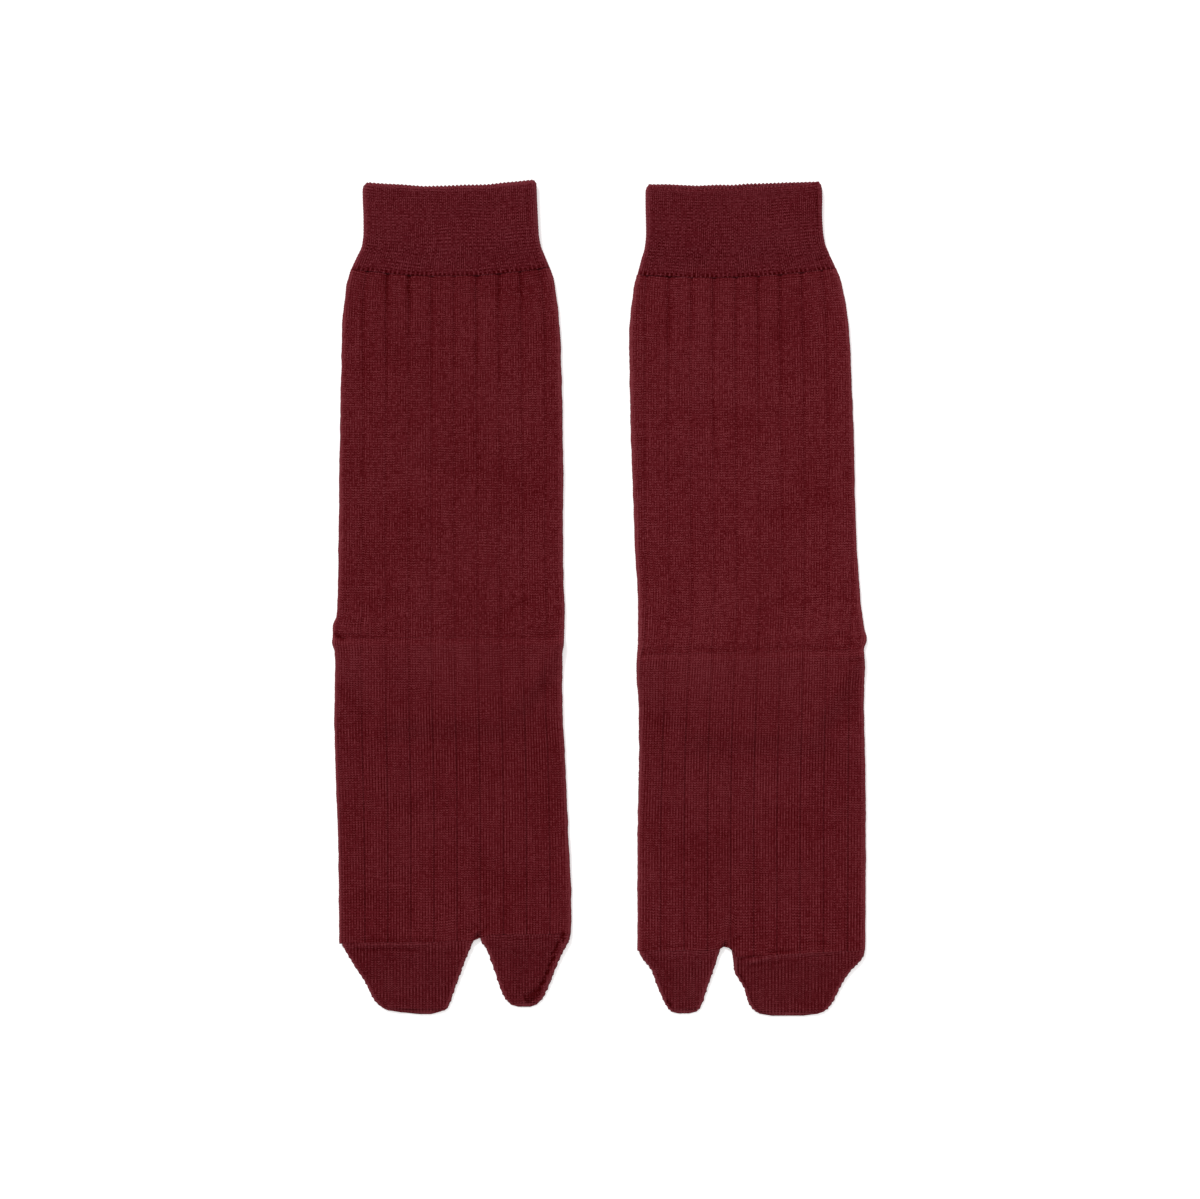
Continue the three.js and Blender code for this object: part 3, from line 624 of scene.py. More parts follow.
def body_surface(sock):
    """The leg's and foot's outside as rows of points, and how deep in shade each lies."""
    levels, ankle_row = body_levels(sock)
    rows = np.arange(len(levels))[:, None]
    course = np.where(rows <= ankle_row, LEG_COURSE, FOOT_COURSE)
    level = levels[:, None] - MIDDLES * STITCH_LEAN * course * from_ends(rows)
    ribs = rib_positions(level)
    x, z, nx, nz = tube_section(sock, level, ribs, BODY_THICK, 0.0)
    front = facing_up(nz)
    y, z = place_body(sock, x, z, level, front)

    top = sock.body["y"][0]
    gathered = ease(top - GATHER_LENGTH, top, level)
    nearest = np.round(ribs)
    groove_side = bell(np.abs(ribs - nearest) * RIB_PITCH, GATHER_HALF)
    gather = gathered * np.interp(nearest, *sock.gathers) * groove_side
    foot = ease(FOOT_FROM, FOOT_TO, level)
    stitches = knit_relief(MIDDLES, rows, WALE_RELIEF["leg"] * (1 - foot) + WALE_RELIEF["foot"] * foot)
    grooves = RIB_HEIGHT * GROOVES + 0.08 * groove_side
    crease, crease_shade = creased(sock, x, y)
    under_crease = creased(sock, -x, y + 8.0)[0]
    joined = CUFF_JOIN * ease(top - 9, top, level)  # the leg swells up to meet the cuff
    rise = RIB_HEIGHT + joined + stitches - grooves - GATHER_DEPTH * gather + swelling(sock, x, y)
    rise = rise - crease * (1 - 0.7 * nx**2)
    under = 0.5 * (stitches - 0.25 - 0.4 * grooves - under_crease)
    rise = rise * front + under * (1 - front)
    seed, way = sock.seed, np.sign(nx)
    wobble = 0.13 * soft_noise(level, 40.0 * way, 9.0, seed + 2)
    wobble = wobble + 0.06 * soft_noise(level, 40.0 * way, 2.3, seed + 4)
    x = x + nx * (rise + FUZZ) + way * nx**2 * wobble
    z = np.maximum(z + nz * rise, 0.0)
    uneven = np.clip(1 + 0.6 * soft_noise(17.0 * nearest, level, 40.0, seed + 9), 0.2, 1.9)
    # Painted shade in the rib grooves and gathers, uneven from groove to groove, with the creases'
    # painted shade and highlight and a little darker just below the cuff; the back gets less, and a
    # painted highlight runs in from each fold
    shade = (0.13 - 0.05 * foot) * GROOVES + 0.035 * groove_side + 0.22 * gather
    shade = shade * uneven + crease_shade + 0.04 * ease(top - 5, top - 1, level)
    left, right = edges(sock.body, level)
    shade = np.clip(shade * (0.3 + 0.7 * front) + painted_rim_highlight(np.minimum(x - left, right - x)), -1, 1)
    v = rows / 2.0 * np.ones_like(x)
    return np.stack([x, y, z], -1), shade, v, levels, ankle_row


def body_lining(sock, levels):
    """The leg's and foot's plain inside, at fewer levels and columns."""
    level = levels[:, None]
    ribs = rib_positions(level)[:, INNER_COLUMNS]
    x, z, _, nz = tube_section(sock, level, ribs, BODY_THICK - 2 * WALL, WALL)
    y, z = place_body(sock, x, z + WALL, level, facing_up(nz))
    return np.stack([x, y, z], -1)


def put(name, data):
    """Places a mesh, lamp or camera in the scene."""
    thing = bpy.data.objects.new(name, data)
    bpy.context.scene.collection.objects.link(thing)
    return thing


class Shell:
    """Collects the points, faces and stitch coordinates of one closed piece."""

    def __init__(self):
        self.points, self.faces, self.uvs, self.shades, self.count = [], [], [], [], 0
        self.smooth = []

    def add_points(self, points, shade=0.0):
        start = self.count
        flat = points.reshape(-1, 3)
        self.points.append(flat)
        self.shades.append(np.broadcast_to(shade, points.shape[:-1]).reshape(-1))
        self.count += len(flat)
        return start + np.arange(len(flat)).reshape(points.shape[:-1])

    def add_grid(self, index, u, v, flip=False, smooth=True):
        """Quads over a grid of rows that close on themselves; u has one value more than a row."""
        next_column = np.roll(index, -1, axis=1)
        a, b = index[:-1], next_column[:-1]
        c, d = next_column[1:], index[1:]
        u0, u1, v = (np.broadcast_to(part, index.shape) for part in (u[..., :-1], u[..., 1:], v))
        v1 = np.roll(v, -1, axis=1)
        corners = [(a, u0[:-1], v[:-1]), (b, u1[:-1], v1[:-1]), (c, u1[1:], v1[1:]), (d, u0[1:], v[1:])]
        if flip:
            corners = corners[::-1]
        faces = np.stack([corner[0] for corner in corners], -1).reshape(-1, 4)
        uv = np.stack([np.stack(corner[1:], -1) for corner in corners], -2).reshape(-1, 4, 2)
        self.faces.append(faces)
        self.uvs.append(uv)
        self.smooth.append(np.full(len(faces), smooth))

    def add_polygons(self, polygons, uv=(0.0, 0.0)):
        for polygon in polygons:
            self.faces.append(np.array([polygon]))
            self.uvs.append(np.broadcast_to(np.array(uv, float), (1, len(polygon), 2)))
            self.smooth.append(np.array([False]))

    def add_rim(self, outer, inner, inner_columns, flip=False):
        """Joins a fine ring to a coarse one whose points stand at the given columns of the fine."""
        polygons = []
        count = len(outer)
        for i, column in enumerate(inner_columns):
            following = inner_columns[(i + 1) % len(inner_columns)]
            span = (following - column) % count
            fine = [outer[(column + k) % count] for k in range(span + 1)]
            polygon = fine + [inner[(i + 1) % len(inner)], inner[i]]
            polygons.append(polygon if flip else polygon[::-1])
        self.add_polygons(polygons)

    def build(self, name, sock, material):
        points = np.concatenate(self.points)
        points = points + np.array([sock.side * SOCK_SPACING / 2, -LENGTH / 2, 0.0])
        mesh = bpy.data.meshes.new(name)
        mesh.vertices.add(len(points))
        mesh.vertices.foreach_set("co", (points * MM).astype(np.float32).ravel())
        loops = np.concatenate([faces.ravel() for faces in self.faces])
        sizes = np.concatenate([np.full(len(faces), faces.shape[1]) for faces in self.faces])
        starts = np.concatenate([[0], np.cumsum(sizes)[:-1]])
        mesh.loops.add(len(loops))
        mesh.loops.foreach_set("vertex_index", loops.astype(np.int32))
        mesh.polygons.add(len(sizes))
        mesh.polygons.foreach_set("loop_start", starts.astype(np.int32))
        mesh.polygons.foreach_set("use_smooth", np.concatenate(self.smooth))
        layer = mesh.uv_layers.new(name="Stitches")
        uv = np.concatenate([part.reshape(-1, 2) for part in self.uvs])
        layer.data.foreach_set("uv", uv.astype(np.float32).ravel())
        shade = mesh.attributes.new("shade", "FLOAT", "POINT")
        shade.data.foreach_set("value", np.concatenate(self.shades).astype(np.float32))
        mesh.update(calc_edges=True)
        mesh.validate()
        turn_outward(mesh)
        mesh.materials.append(material)
        return put(name, mesh)


def turn_outward(mesh):
    """Makes every face of a closed mesh face out."""
    work = bmesh.new()
    work.from_mesh(mesh)
    bmesh.ops.recalc_face_normals(work, faces=work.faces)
    work.to_mesh(mesh)
    work.free()


def body_piece(sock, name, surface, row_range, material):
    """The leg or the foot: its stretch of the outside, its lining and the two rims."""
    points, shade, v, levels, _ = surface
    first, last = row_range
    shell = Shell()
    outer = shell.add_points(points[first : last + 1], shade[first : last + 1])
    shell.add_grid(outer, closed(WALES, WALES_ROUND), v[first : last + 1])
    inner_levels = lining_levels(sock, levels[first], levels[last])
    # The lining inside the tube gets painted shade
    inner = shell.add_points(body_lining(sock, inner_levels), 0.4)
    inner_u = closed(WALES[INNER_COLUMNS], WALES_ROUND)
    inner_v = (levels[0] - inner_levels)[:, None] / LEG_COURSE
    shell.add_grid(inner, inner_u, inner_v, flip=True)
    shell.add_rim(outer[0], inner[0], INNER_COLUMNS, flip=True)
    shell.add_rim(outer[-1], inner[-1], INNER_COLUMNS)
    return shell.build(f"{sock.name}_{name}", sock, material)


def lining_levels(sock, top, end):
    """Levels for a lining: wide apart, and close where the cloth climbs over the pouch."""
    ankle = sock.ankle[0]
    steps = [top, end]
    steps += list(np.arange(end + 8.0, top - 3.0, 9.0))
    near = ankle + np.array([6.0, 3.0, 2.0, 1.0, 0.0, -1.0, -2.0, -3.0, -6.0])
    far = ankle - POUCH_DEPTH - np.array([-2.0, 1.0, 3.0, 5.0, 7.0, 9.0])
    steps += [y for y in [*near, *far] if end < y < top]
    steps = sorted(set(np.round(steps, 3)), reverse=True)
    kept = [steps[0]]
    for y in steps[1:-1]:
        if kept[-1] - y > 0.7 and y - steps[-1] > 0.7:
            kept.append(y)
    return np.array([*kept, steps[-1]])


def cuff_piece(sock, material):
    """The doubled cuff: its outside from the leg to the rim, over the rim and down its lining."""
    rows = sock.cuff
    rim, base = rows["y"][0], rows["y"][-1]
    front_wales = round((rows["right"][2] - rows["left"][2]) / CUFF_WALE)
    front_count, back_count = 2 * front_wales, front_wales
    share = shares_round(front_count, back_count)
    wales = np.concatenate([np.arange(front_count) / 2, front_wales + np.arange(back_count)])
    middle = np.concatenate([np.arange(front_count) % 2, np.zeros(back_count)])
    courses = round((rim - base) / CUFF_COURSE)
    levels = np.linspace(base, rim, 2 * courses + 1)
    row = np.arange(len(levels))[:, None]
    u = closed(wales, front_wales + back_count)
    level = levels[:, None] - middle * 0.3 * CUFF_COURSE * from_ends(row)

    def section(level, inside):
        """Points at a level, out at the face (inside 0) or in at the lining (1)."""
        thinner = BODY_THICK + RIB_HEIGHT + CUFF_JOIN - CUFF_THICK
        full = CUFF_THICK + thinner * ease(base + 14, base, level)
        inset = inside * CUFF_WALL * full / CUFF_THICK
        thick = full - 2 * inset
        left, right = edges(rows, level, inset)
        x, z, nx, nz = flat_tube(share, left, right, thick)
        across = np.clip((2 * x - left - right) / (right - left), -1, 1)
        drop = curve(rows, "sag", level) * (1 - across**2) - curve(rows, "tilt", level) * across
        dip = sock.rim_dip * ease(rim - 8, rim, level) * (1 - across**8) * (nz > 0)
        line = sock.rim_line
        dip = dip + ease(rim - 12, rim, level) * np.interp(x, line["x"], line["dip"])
        return x, level - drop - dip, z + inset, nx, nz

    x, y, z, nx, nz = section(level, 0.0)
    stitches = knit_relief(middle, row, WALE_RELIEF["cuff"])
    round_rim = ease(rim - 1.6, rim + 0.4, level)
    beads = np.cos(math.pi * wales)  # 1 and -1 on every other wale
    tick = 1.3 * (0.5 + 0.5 * beads) ** 2 - 0.15 + 0.15 * beads
    tick = tick * ease(base + TICK_LENGTH + 0.3, base + TICK_LENGTH - 0.3, level)
    tick = tick * (0.85 + 0.3 * soft_noise(x, 0.0, 7.0, sock.seed + 8))
    front = facing_up(nz)
    swell = 0.2 * soft_noise(x, y, 22.0, sock.seed + 1) * ease(base, base + 5, level) + 0.1
    rise = (stitches + swell) * front + (stitches - 0.2) * 0.5 * (1 - front)
    crease, crease_shade = creased(sock, x, y)
    rise = rise - 0.75 * np.abs(nz) * round_rim**2 - (0.2 * tick + crease) * front
    corner = sock.corner * nx**2 * ease(rim - 1.5, rim + 0.2, level)
    scallop = 0.34 * beads * ease(rim - 1.4, rim, level) - 0.45 * corner
    x_out = x + nx * (rise + FUZZ) - 0.9 * nx * corner
    points = np.stack([x_out, y + scallop, np.maximum(z + nz * rise, 0.0)], -1)
    shell = Shell()
    left, right = edges(rows, level)
    # Painted highlight in from the folds and along the rim, paler on the rim's beads with painted shade
    # between them, painted shade in the gap at the front's lip, and on the front the creases' painted
    # shade and painted shade in the gaps between the picked-up stitches at the base
    lip_highlight = 0.8 + (sock.lip_highlight - 0.8) * front
    shade = painted_rim_highlight(np.minimum(x - left, right - x)) + lip_highlight * painted_rim_highlight((rim - level) / 1.4)
    lip = ease(rim - 1.5, rim - 0.4, level)
    lip_shade = sock.lip_shade * (0.6 + 0.4 * beads) * lip * front
    shade = np.clip(shade, -1, 0) - 0.6 * beads * lip + lip_shade
    shade = shade + (crease_shade + 0.9 * tick) * front
    outer = shell.add_points(points, shade)
    shell.add_grid(outer[::-1], u, row[::-1] / 2.0)

    near_rim = [rim - depth for depth in (0.5, 1.2, 1.9, 2.6, 10)]
    inner_levels = np.array([*near_rim, 356, 350, 345, 340, base])[:, None]
    x, y, z, _, _ = section(inner_levels, 1.0)
    # The lining: a painted highlight on the band that shows above the front's rim, paler and darker by
    # beads, and painted shade deeper in
    inner_shade = 1.3 * ease(rim - 1.5, rim - 2.3, inner_levels) - 0.6 - 0.45 * beads
    inner = shell.add_points(np.stack([x, y, z], -1), inner_shade)
    shell.add_grid(inner, u, inner_levels / CUFF_COURSE, flip=True)
    shell.add_grid(np.stack([outer[-1], inner[0]]), u, np.zeros((2, 1)), flip=True)
    shell.add_grid(np.stack([inner[-1], outer[0]]), u, np.zeros((2, 1)), flip=True, smooth=False)
    return shell.build(f"{sock.name}_cuff_knit", sock, material)


def pocket_piece(sock, pocket, material):
    """A toe pocket: a tube that starts at the toe line and is linked shut at its tip."""
    rows = pocket.rows
    tip = rows["y"][-1]
    top = float(np.max(sock.toe_line["y"]))
    width = rows["right"][1] - rows["left"][1]
    wale = pocket.wale
    front_count = round(width / (wale / 4))
    back_count = round(width / wale)
    share = shares_round(front_count, back_count)
    courses = round((rows["y"][1] - tip) / TOE_COURSE)
    drop = np.linspace(0.0, 1.0, 2 * courses + 1)[:, None]

    def section(drop, thick_out, inset, tip_stop):
        """Points at a share of the way from the toe line to the tip."""
        start = curve_start(sock, pocket)
        level = start - (start - tip - tip_stop) * drop
        left, right = edges(rows, level, inset)
        thick = thick_out * (1 - drop) + TIP_THICK * drop
        thick = thick * np.sqrt(np.clip(1 - ease(0.9, 1.0, drop) * 0.75, 0.05, 1)) - 2 * inset
        thick = np.maximum(thick, 0.25)
        x, z, nx, nz = flat_tube(share, left, right, thick)
        line = end_level(sock, x)
        y = level + (line - start) * smooth01(1 - drop / 0.4)
        return x, y, z + inset, nx, nz, left, right

    x, y, z, nx, nz, left, right = section(drop, BODY_THICK + 0.22, 0.0, 0.0)
    u = x / wale
    row = np.arange(len(drop))[:, None]
    v = row / 2.0 * np.ones_like(x)
    middle = 0.5 + 0.5 * np.cos(TURN * u)
    front = facing_up(nz)
    y = y - STITCH_LEAN * TOE_COURSE * middle * from_ends(row)
    stitches = COURSE_RELIEF * np.where(row % 2 == 0, 1.0, -1.0) - WALE_RELIEF["toe"] * (1 - middle)
    ticks = 0.65 + 0.35 * np.cos(TURN * v / 1.5)
    link = np.zeros_like(x)
    for edge, distance, depth in pocket.link:
        off = (x - left) if edge == "left" else (right - x)
        link += depth * ticks * bell(off - distance, 0.5) * ease(0.0, 0.1, drop)
        link -= 0.5 * depth * bell(off - 0.45 * distance, 0.7) * ease(0.0, 0.1, drop)
    tip_seam = 0.2 * bell(y - tip - 1.6, 0.5)
    crease, crease_shade = creased(sock, x, y)
    own = ease(0.0, 0.3, drop)
    seed = sock.seed
    swell = swelling(sock, x, y) * (1 - own) + 0.16 * soft_noise(x, y, 14.0, seed + 5) * own
    rise = (stitches + swell - link - tip_seam - crease) * front + (stitches - 0.2) * 0.4 * (1 - front)
    knob = 0.12 * np.cos(math.pi * v + 0.6 * np.sin(v))
    knob = knob + 0.1 * soft_noise(v, np.sign(nx) * 9.0, 3.1, seed + 6)
    knob = knob * np.abs(nx) * ease(0.1, 0.25, drop) + FUZZ
    # Painted shade in the slots of the linked slopes, a little paler beside them, in the tip's seam and
    # in the creases, a little paler at the toe line, and a painted highlight in from the edges and the
    # tip
    shade = 1.3 * np.clip(link, -0.15, 1) + 0.12 * tip_seam + crease_shade - 0.16 * ease(0.14, 0.0, drop)
    off = np.minimum(np.minimum(x - left, right - x), (y - tip + 0.3) / 1.5)
    shade = np.clip(shade * front + painted_rim_highlight(off), -1, 1)
    y = y - TIP_FUZZ * ease(0.85, 1.0, drop)
    points = np.stack([x + nx * (rise + knob), y, np.maximum(z + nz * rise, 0.0)], -1)

    shell = Shell()
    outer = shell.add_points(points, shade)
    shell.add_grid(outer, closed(u), v)
    inner_columns = np.unique(np.round(np.linspace(0, len(share), 25)[:-1]).astype(int))
    inner_drop = np.linspace(0, 1, 9)[:, None]
    x, y, z, *_ = section(inner_drop, BODY_THICK, WALL, 1.4 * WALL)
    lining = np.stack([x, y, z], -1)[:, inner_columns]
    # The lining inside the pocket gets painted shade
    inner = shell.add_points(lining, 0.5)
    shell.add_grid(inner, closed(lining[..., 0] / wale), (top - lining[..., 1]) / TOE_COURSE, flip=True)
    shell.add_rim(outer[0], inner[0], inner_columns, flip=True)
    shell.add_polygons([list(outer[-1])[::-1], list(inner[-1])])
    return shell.build(f"{sock.name}_{pocket.name}_knit", sock, material)


def curve_start(sock, pocket):
    """The level at which a pocket's sections start: the toe line at its outer edge."""
    rows = pocket.rows
    edge = rows["left"][1] if pocket.side < 0 else rows["right"][1]
    return float(end_level(sock, edge))


def pouch_outline(sock, inset, corner_steps):
    """The folded heel pouch's outline from above, drawn in by inset."""
    middle = ankle_middle(sock)
    start = POUCH_START + inset
    end = POUCH_DEPTH - inset

    def corner(side, depth, shift):
        return np.array([side * (pouch_half(sock, depth) - inset - shift), -depth])

    def bend(a, b, c):
        t = np.linspace(0, 1, corner_steps)[:, None]
        return a * (1 - t) ** 2 + 2 * b * t * (1 - t) + c * t * t

    def run(a, b, count):
        t = np.linspace(0, 1, count + 2)[1:-1, None]
        return a * (1 - t) + b * t

    tl, tr = (
        [corner(side, start, POUCH_ROUND), corner(side, start, 0), corner(side, start + POUCH_ROUND, 0)]
        for side in (-1, 1)
    )
    bl, br = (
        [corner(side, end - TIP_ROUND, 0), corner(side, end, 0), corner(side, end, TIP_ROUND)]
        for side in (-1, 1)
    )
    br, tr = br[::-1], tr[::-1]
    parts = [bend(*tl), run(tl[2], bl[0], 22), bend(*bl), run(bl[2], br[0], 26), bend(*br)]
    parts += [run(br[2], tr[0], 22), bend(*tr), run(tr[2], tl[0], 80)]
    outline = np.concatenate(parts)
    tilt = sock.ankle[1] * outline[:, 0] / pouch_half(sock, 0)
    return np.stack([outline[:, 0] + middle, outline[:, 1] + sock.ankle[0] + tilt], -1)


def heel_piece(sock, material):
    """The heel pouch, folded flat: two pressed layers with a groove between them at the edge."""
    shell = Shell()
    rings = []
    for z, inset in POUCH_PROFILE:
        outline = pouch_outline(sock, inset, 10)
        between = 1.0 if 0.2 < z < 2.0 else 0.0  # not on the faces that lie flat
        ripple = 0.08 * np.cos(np.arange(len(outline)) * 2.1) * between
        centre = outline.mean(axis=0)
        away = outline - centre
        away /= np.linalg.norm(away, axis=1, keepdims=True)
        rippled = outline + away * ripple[:, None]
        rings.append(np.concatenate([rippled, np.full((len(rippled), 1), z)], axis=1))
    points = np.stack(rings)
    index = shell.add_points(points, 0.1)
    shell.add_grid(index, closed(points[..., 0] / TOE_WALE), points[..., 1] / TOE_COURSE)
    for ring, flip in ((0, False), (-1, True)):
        close_flat(shell, index[ring], points[ring], flip)
    return shell.build(f"{sock.name}_heel_knit", sock, material)


def close_flat(shell, ring, points, flip):
    """Closes a flat ring with a fan of triangles round its middle."""
    middle = points.mean(axis=0)
    hub = shell.add_points(middle[None], 0.1)
    stitch = points[:, :2] / (TOE_WALE, TOE_COURSE)
    hub_stitch = np.broadcast_to(middle[:2] / (TOE_WALE, TOE_COURSE), stitch.shape)
    faces = np.stack([ring, np.roll(ring, -1), np.broadcast_to(hub, ring.shape)], -1)
    uv = np.stack([stitch, np.roll(stitch, -1, axis=0), hub_stitch], 1)
    shell.faces.append(faces[:, ::-1] if flip else faces)
    shell.uvs.append(uv[:, ::-1] if flip else uv)
    shell.smooth.append(np.full(len(faces), False))


class Nodes:
    """A short way to write a material's node tree."""

    def __init__(self, name):
        self.material = bpy.data.materials.new(name)
        self.material.use_nodes = True
        self.tree = self.material.node_tree
        self.tree.nodes.clear()

    def add(self, kind, **settings):
        node = self.tree.nodes.new("ShaderNode" + kind)
        for key, value in settings.items():
            setattr(node, key, value)
        return node

    def link(self, source, target):
        self.tree.links.new(source, target)

    def feed(self, value, socket):
        if isinstance(value, bpy.types.NodeSocket):
            self.link(value, socket)
        else:
            socket.default_value = value

    def fill(self, node, values):
        """Feeds a node's inputs, given by name or number."""
        for key, value in values.items():
            self.feed(value, node.inputs[key])

    def math(self, operation, *values):
        node = self.add("Math", operation=operation)
        self.fill(node, dict(enumerate((*values, 0.0, 0.0)[:3])))
        return node.outputs[0]

    def scaled(self, value, by, plus):
        """value times by, and plus added."""
        return self.math("MULTIPLY_ADD", value, by, plus)

    def vector(self, x, y, z=0.0):
        node = self.add("CombineXYZ")
        self.fill(node, {0: x, 1: y, 2: z})
        return node.outputs[0]

    def noise(self, vector, scale, detail, rough=0.5):
        node = self.add("TexNoise")
        self.fill(node, {"Vector": vector, "Scale": scale, "Detail": detail, "Roughness": rough})
        return node.outputs["Fac"]

    def streaks(self, x, by_x, y, by_y, z=0.0):
        """A noise drawn out along x or y by small factors."""
        scaled = self.vector(self.math("MULTIPLY", x, by_x), self.math("MULTIPLY", y, by_y), z)
        return self.noise(scaled, 1.0, 1.0)

    def finish(self, shader):
        self.link(shader.outputs[0], self.add("OutputMaterial").inputs["Surface"])
        return self.material


def linear(colour):
    """A linear colour from display values out of 255."""
    share = np.clip(np.array(colour, float) / 255, 0.0035, 1)
    return np.where(share > 0.04045, ((share + 0.055) / 1.055) ** 2.4, share / 12.92)


def knit_material(name, colour, contrast, above=None):
    """Fine matte knit: stitches from the stitch coordinates, yarn streaks, mottling and fibres.
    Where above is given, the lines of the knit turn from those to this part's own down the foot.
    The scales of the noises at a place are in waves a metre."""
    wale_line, course_line, slant, single, up_streak, along_streak, mottling = contrast
    n = Nodes(name)
    stitches = n.add("UVMap", uv_map="Stitches").outputs[0]
    split = n.add("SeparateXYZ")
    n.link(stitches, split.inputs[0])
    u = split.outputs[0]
    place = n.add("TexCoord").outputs["Object"]
    wander = n.math("SUBTRACT", n.noise(place, 55.0, 1.0), 0.5)
    v = n.scaled(wander, 2.2, split.outputs[1])
    shade = n.add("Attribute", attribute_name="shade").outputs["Fac"]

    # Wales and courses as soft lines, which stand out more in some patches than in others: painted shade
    # in the valleys between the stitches and painted highlight on their crests
    wave_u, wave_v = (n.math("COSINE", n.math("MULTIPLY", value, TURN)) for value in (u, v))
    patch = n.scaled(n.noise(place, 110.0, 1.0), 3.0, -0.5)
    other = n.math("SUBTRACT", 2.0, patch)

    wale_number = n.math("FLOOR", n.math("ADD", u, 0.5))
    course_number = n.math("FLOOR", n.math("ADD", v, 0.5))
    stitch = n.add("TexWhiteNoise", noise_dimensions="2D")
    n.link(n.vector(wale_number, course_number), stitch.inputs["Vector"])
    up_wale = n.streaks(wale_number, 3.7, v, 0.07)
    up_band = n.streaks(u, 0.3, v, 0.03, 5.0)
    along = n.streaks(u, 0.08, course_number, 3.7, 9.0)
    mottle = n.noise(place, 900.0, 1.0, 0.6)
    broad = n.noise(place, 30.0, 2.0)
    fibres = n.noise(place, 2600.0, 2.0, 0.7)

    base = 0.5
    if above:
        turn = n.add("MapRange", interpolation_type="SMOOTHSTEP")
        where = n.add("SeparateXYZ")
        n.link(place, where.inputs[0])
        start, end = ((level - LENGTH / 2) * MM for level in (FOOT_FROM, FOOT_TO))
        n.fill(turn, {"Value": where.outputs[1], "From Min": start, "From Max": end})
        share = turn.outputs[0]
        base = n.scaled(share, -0.08, 0.57)
        wale_line = n.scaled(share, wale_line - above[0], above[0])
        course_line = n.scaled(share, course_line - above[1], above[1])
    # Each stitch stands out more or less than the next, on its own
    draw = n.add("SeparateColor")
    n.link(stitch.outputs["Color"], draw.inputs[0])
    draw_u = n.scaled(draw.outputs[0], single, -0.5 * single)
    draw_v = n.scaled(draw.outputs[1], single, -0.5 * single)
    tone = n.scaled(wave_u, n.scaled(patch, wale_line, draw_u), base)
    tone = n.scaled(wave_v, n.scaled(other, course_line, draw_v), tone)
    for lean in (math.pi, -math.pi):  # lines that slant both ways
        across = n.scaled(v, TURN, n.math("MULTIPLY", u, lean))
        tone = n.scaled(n.math("COSINE", across), slant, tone)
    for value, strength in (
        (draw.outputs[2], 0.3 * single),
        (up_wale, up_streak),
        (up_band, 0.8 * up_streak),
        (along, along_streak),
        (mottle, mottling),
        (broad, 0.25),
        (fibres, 0.3),
    ):
        tone = n.scaled(n.math("SUBTRACT", value, 0.5), strength, tone)
    # The shade attribute darkens the yarn as painted shade, and below 0 lightens it as painted highlight
    tone = n.scaled(shade, -0.6, tone)

    ramp = n.add("ValToRGB")
    stops = ramp.color_ramp.elements
    stops.new(0.5)
    # The ramp's ends serve both for darker and lighter yarn and for the painted shade and highlight
    for stop, shift in zip(stops, (-TONE_SPREAD, 0, TONE_SPREAD)):
        yarn = linear([value + shift for value in colour]) / LIGHT_LEVEL
        stop.color = (*map(float, yarn), 1.0)
    n.link(tone, ramp.inputs[0])

    bump = n.add("Bump")
    height = n.scaled(wave_u, 0.3, n.math("MULTIPLY", wave_v, 0.2))
    n.fill(bump, {"Strength": 0.5, "Distance": 0.0003, "Height": n.scaled(fibres, 0.5, height)})

    shader = n.add("BsdfPrincipled")
    n.fill(shader, {"Base Color": ramp.outputs[0], "Normal": bump.outputs[0], "Roughness": 0.95})
    n.fill(shader, {"Specular IOR Level": 0.02, "Sheen Weight": 0.22, "Sheen Roughness": 0.3})
    n.fill(shader, {"Sheen Tint": (1.0, 0.4, 0.45, 1.0)})
    return n.finish(shader)


def floor_piece():
    """The plain pale floor."""
    mesh = bpy.data.meshes.new("floor")
    reach, level = 6.0, -0.0002
    corners = [(x * reach, y * reach, level) for x, y in ((-1, -1), (1, -1), (1, 1), (-1, 1))]
    mesh.from_pydata(corners, [], [(0, 1, 2, 3)])
    n = Nodes("floor_paper")
    shader = n.add("BsdfPrincipled")
    grain = n.noise(n.add("TexCoord").outputs["Object"], 300.0, 2.0)
    tone = n.add("Mix", data_type="RGBA")
    n.fill(tone, {0: grain, 6: (0.93, 0.93, 0.93, 1.0), 7: (0.95, 0.95, 0.95, 1.0)})
    n.fill(shader, {"Base Color": tone.outputs[2], "Roughness": 0.95, "Specular IOR Level": 0.0})
    n.fill(shader, {"Emission Color": (1.0, 1.0, 1.0, 1.0), "Emission Strength": FLOOR_GLOW})
    mesh.materials.append(n.finish(shader))
    floor = put("floor", mesh)


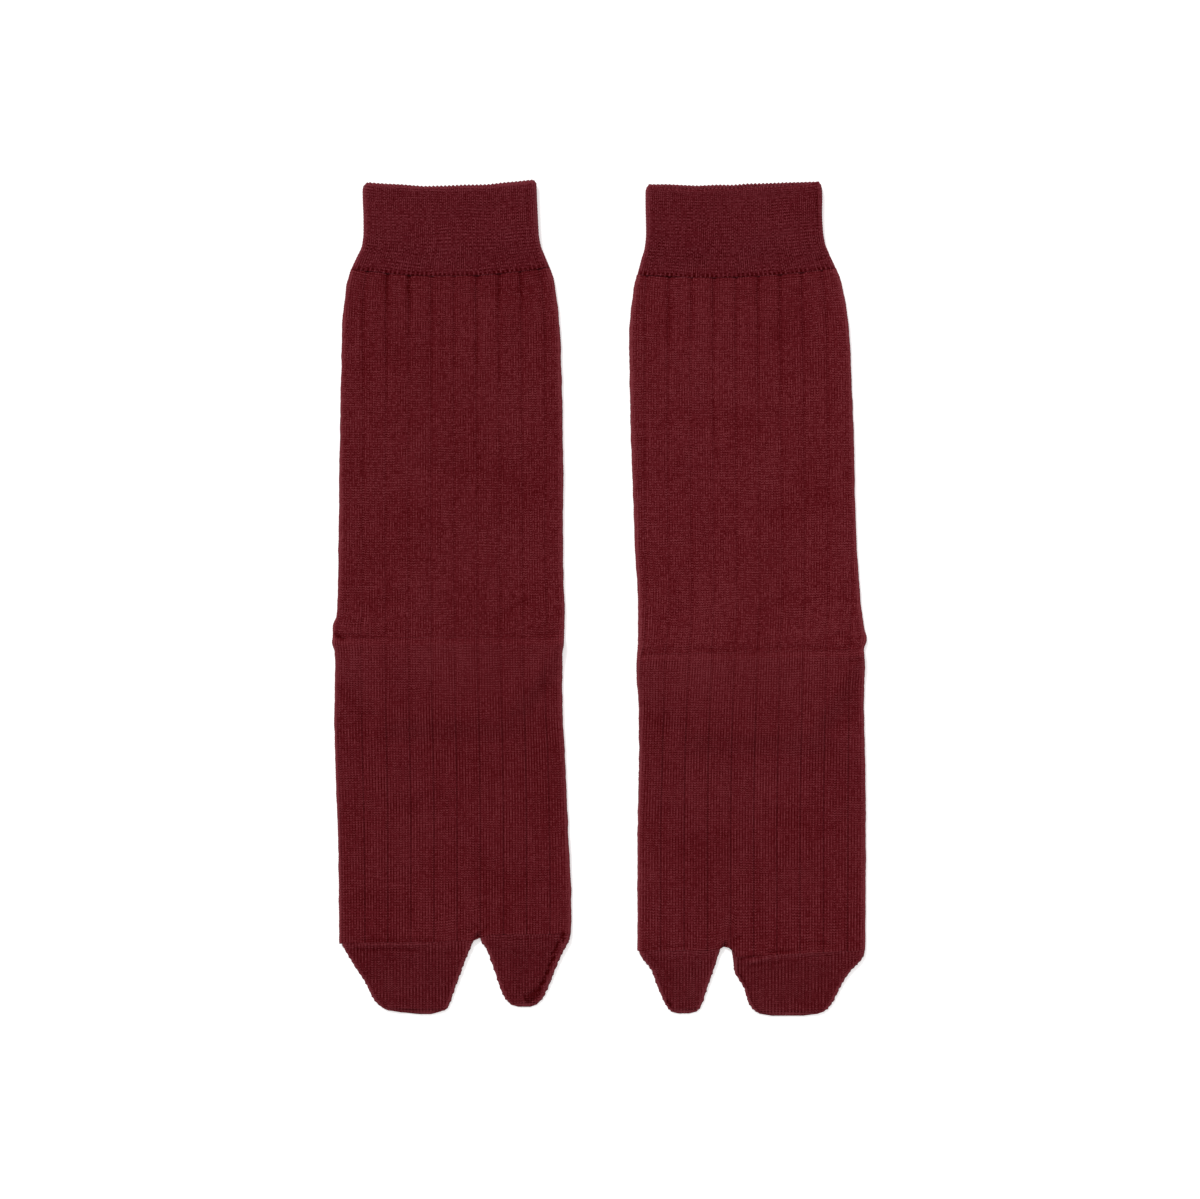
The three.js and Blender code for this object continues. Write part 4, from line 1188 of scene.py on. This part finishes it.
def light_room():
    """Soft studio light: a bright white room and a broad lamp beyond the cuffs."""
    world = bpy.data.worlds.new("room")
    bpy.context.scene.world = world
    world.use_nodes = True
    background = world.node_tree.nodes["Background"]
    background.inputs["Color"].default_value = (1.0, 1.0, 1.0, 1.0)
    background.inputs["Strength"].default_value = ROOM_LIGHT
    lamp = bpy.data.lights.new("key", "SUN")
    lamp.energy = SUN_ENERGY
    lamp.angle = math.radians(SUN_ANGLE)
    holder = put("key", lamp)
    holder.location = (-0.2, 0.8, 1.0)
    holder.rotation_euler = [math.radians(turn) for turn in SUN_TURN]


def set_camera():
    """Straight above, as in the photograph."""
    data = bpy.data.cameras.new("camera")
    data.lens = CAMERA_LENS
    data.sensor_width = CAMERA_SENSOR
    camera = put("camera", data)
    height = PHOTO_WIDTH * MM * CAMERA_LENS / CAMERA_SENSOR
    camera.location = (PHOTO_CENTRE[0] * MM, PHOTO_CENTRE[1] * MM, height)
    bpy.context.scene.camera = camera
    bpy.context.scene.view_settings.view_transform = "Standard"


def dress(piece, nodes):
    """Hangs a piece under the root and hides the parts of the model that it stands for."""
    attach(piece, "root")
    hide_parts(*nodes)


def build_sock(sock):
    name = sock.name
    knit = {}
    for colour, (part, contrast) in zip(KNIT_COLOURS[name], KNIT_CONTRAST.items()):
        above = ABOVE_FOOT if part == "foot" else None
        knit[part] = knit_material(f"{name}_{part}_wool", colour, contrast, above)
    surface = body_surface(sock)
    levels, ankle_row = surface[3], surface[4]
    leg = body_piece(sock, "leg_knit", surface, (0, ankle_row), knit["leg"])
    dress(leg, [f"{name}_leg_foot"])
    foot = body_piece(sock, "foot_knit", surface, (ankle_row, len(levels) - 1), knit["foot"])
    dress(foot, [f"{name}_leg_foot"])
    cuff = cuff_piece(sock, knit["cuff"])
    dress(cuff, [f"{name}_cuff"])
    for pocket in sock.pockets:
        piece = pocket_piece(sock, pocket, knit["toe"])
        dress(piece, [f"{name}_{pocket.name}"])
    heel = heel_piece(sock, knit["heel"])
    dress(heel, [f"{name}_heel"])


set_camera()
floor_piece()
light_room()
for one in (RIGHT, LEFT):
    build_sock(one)
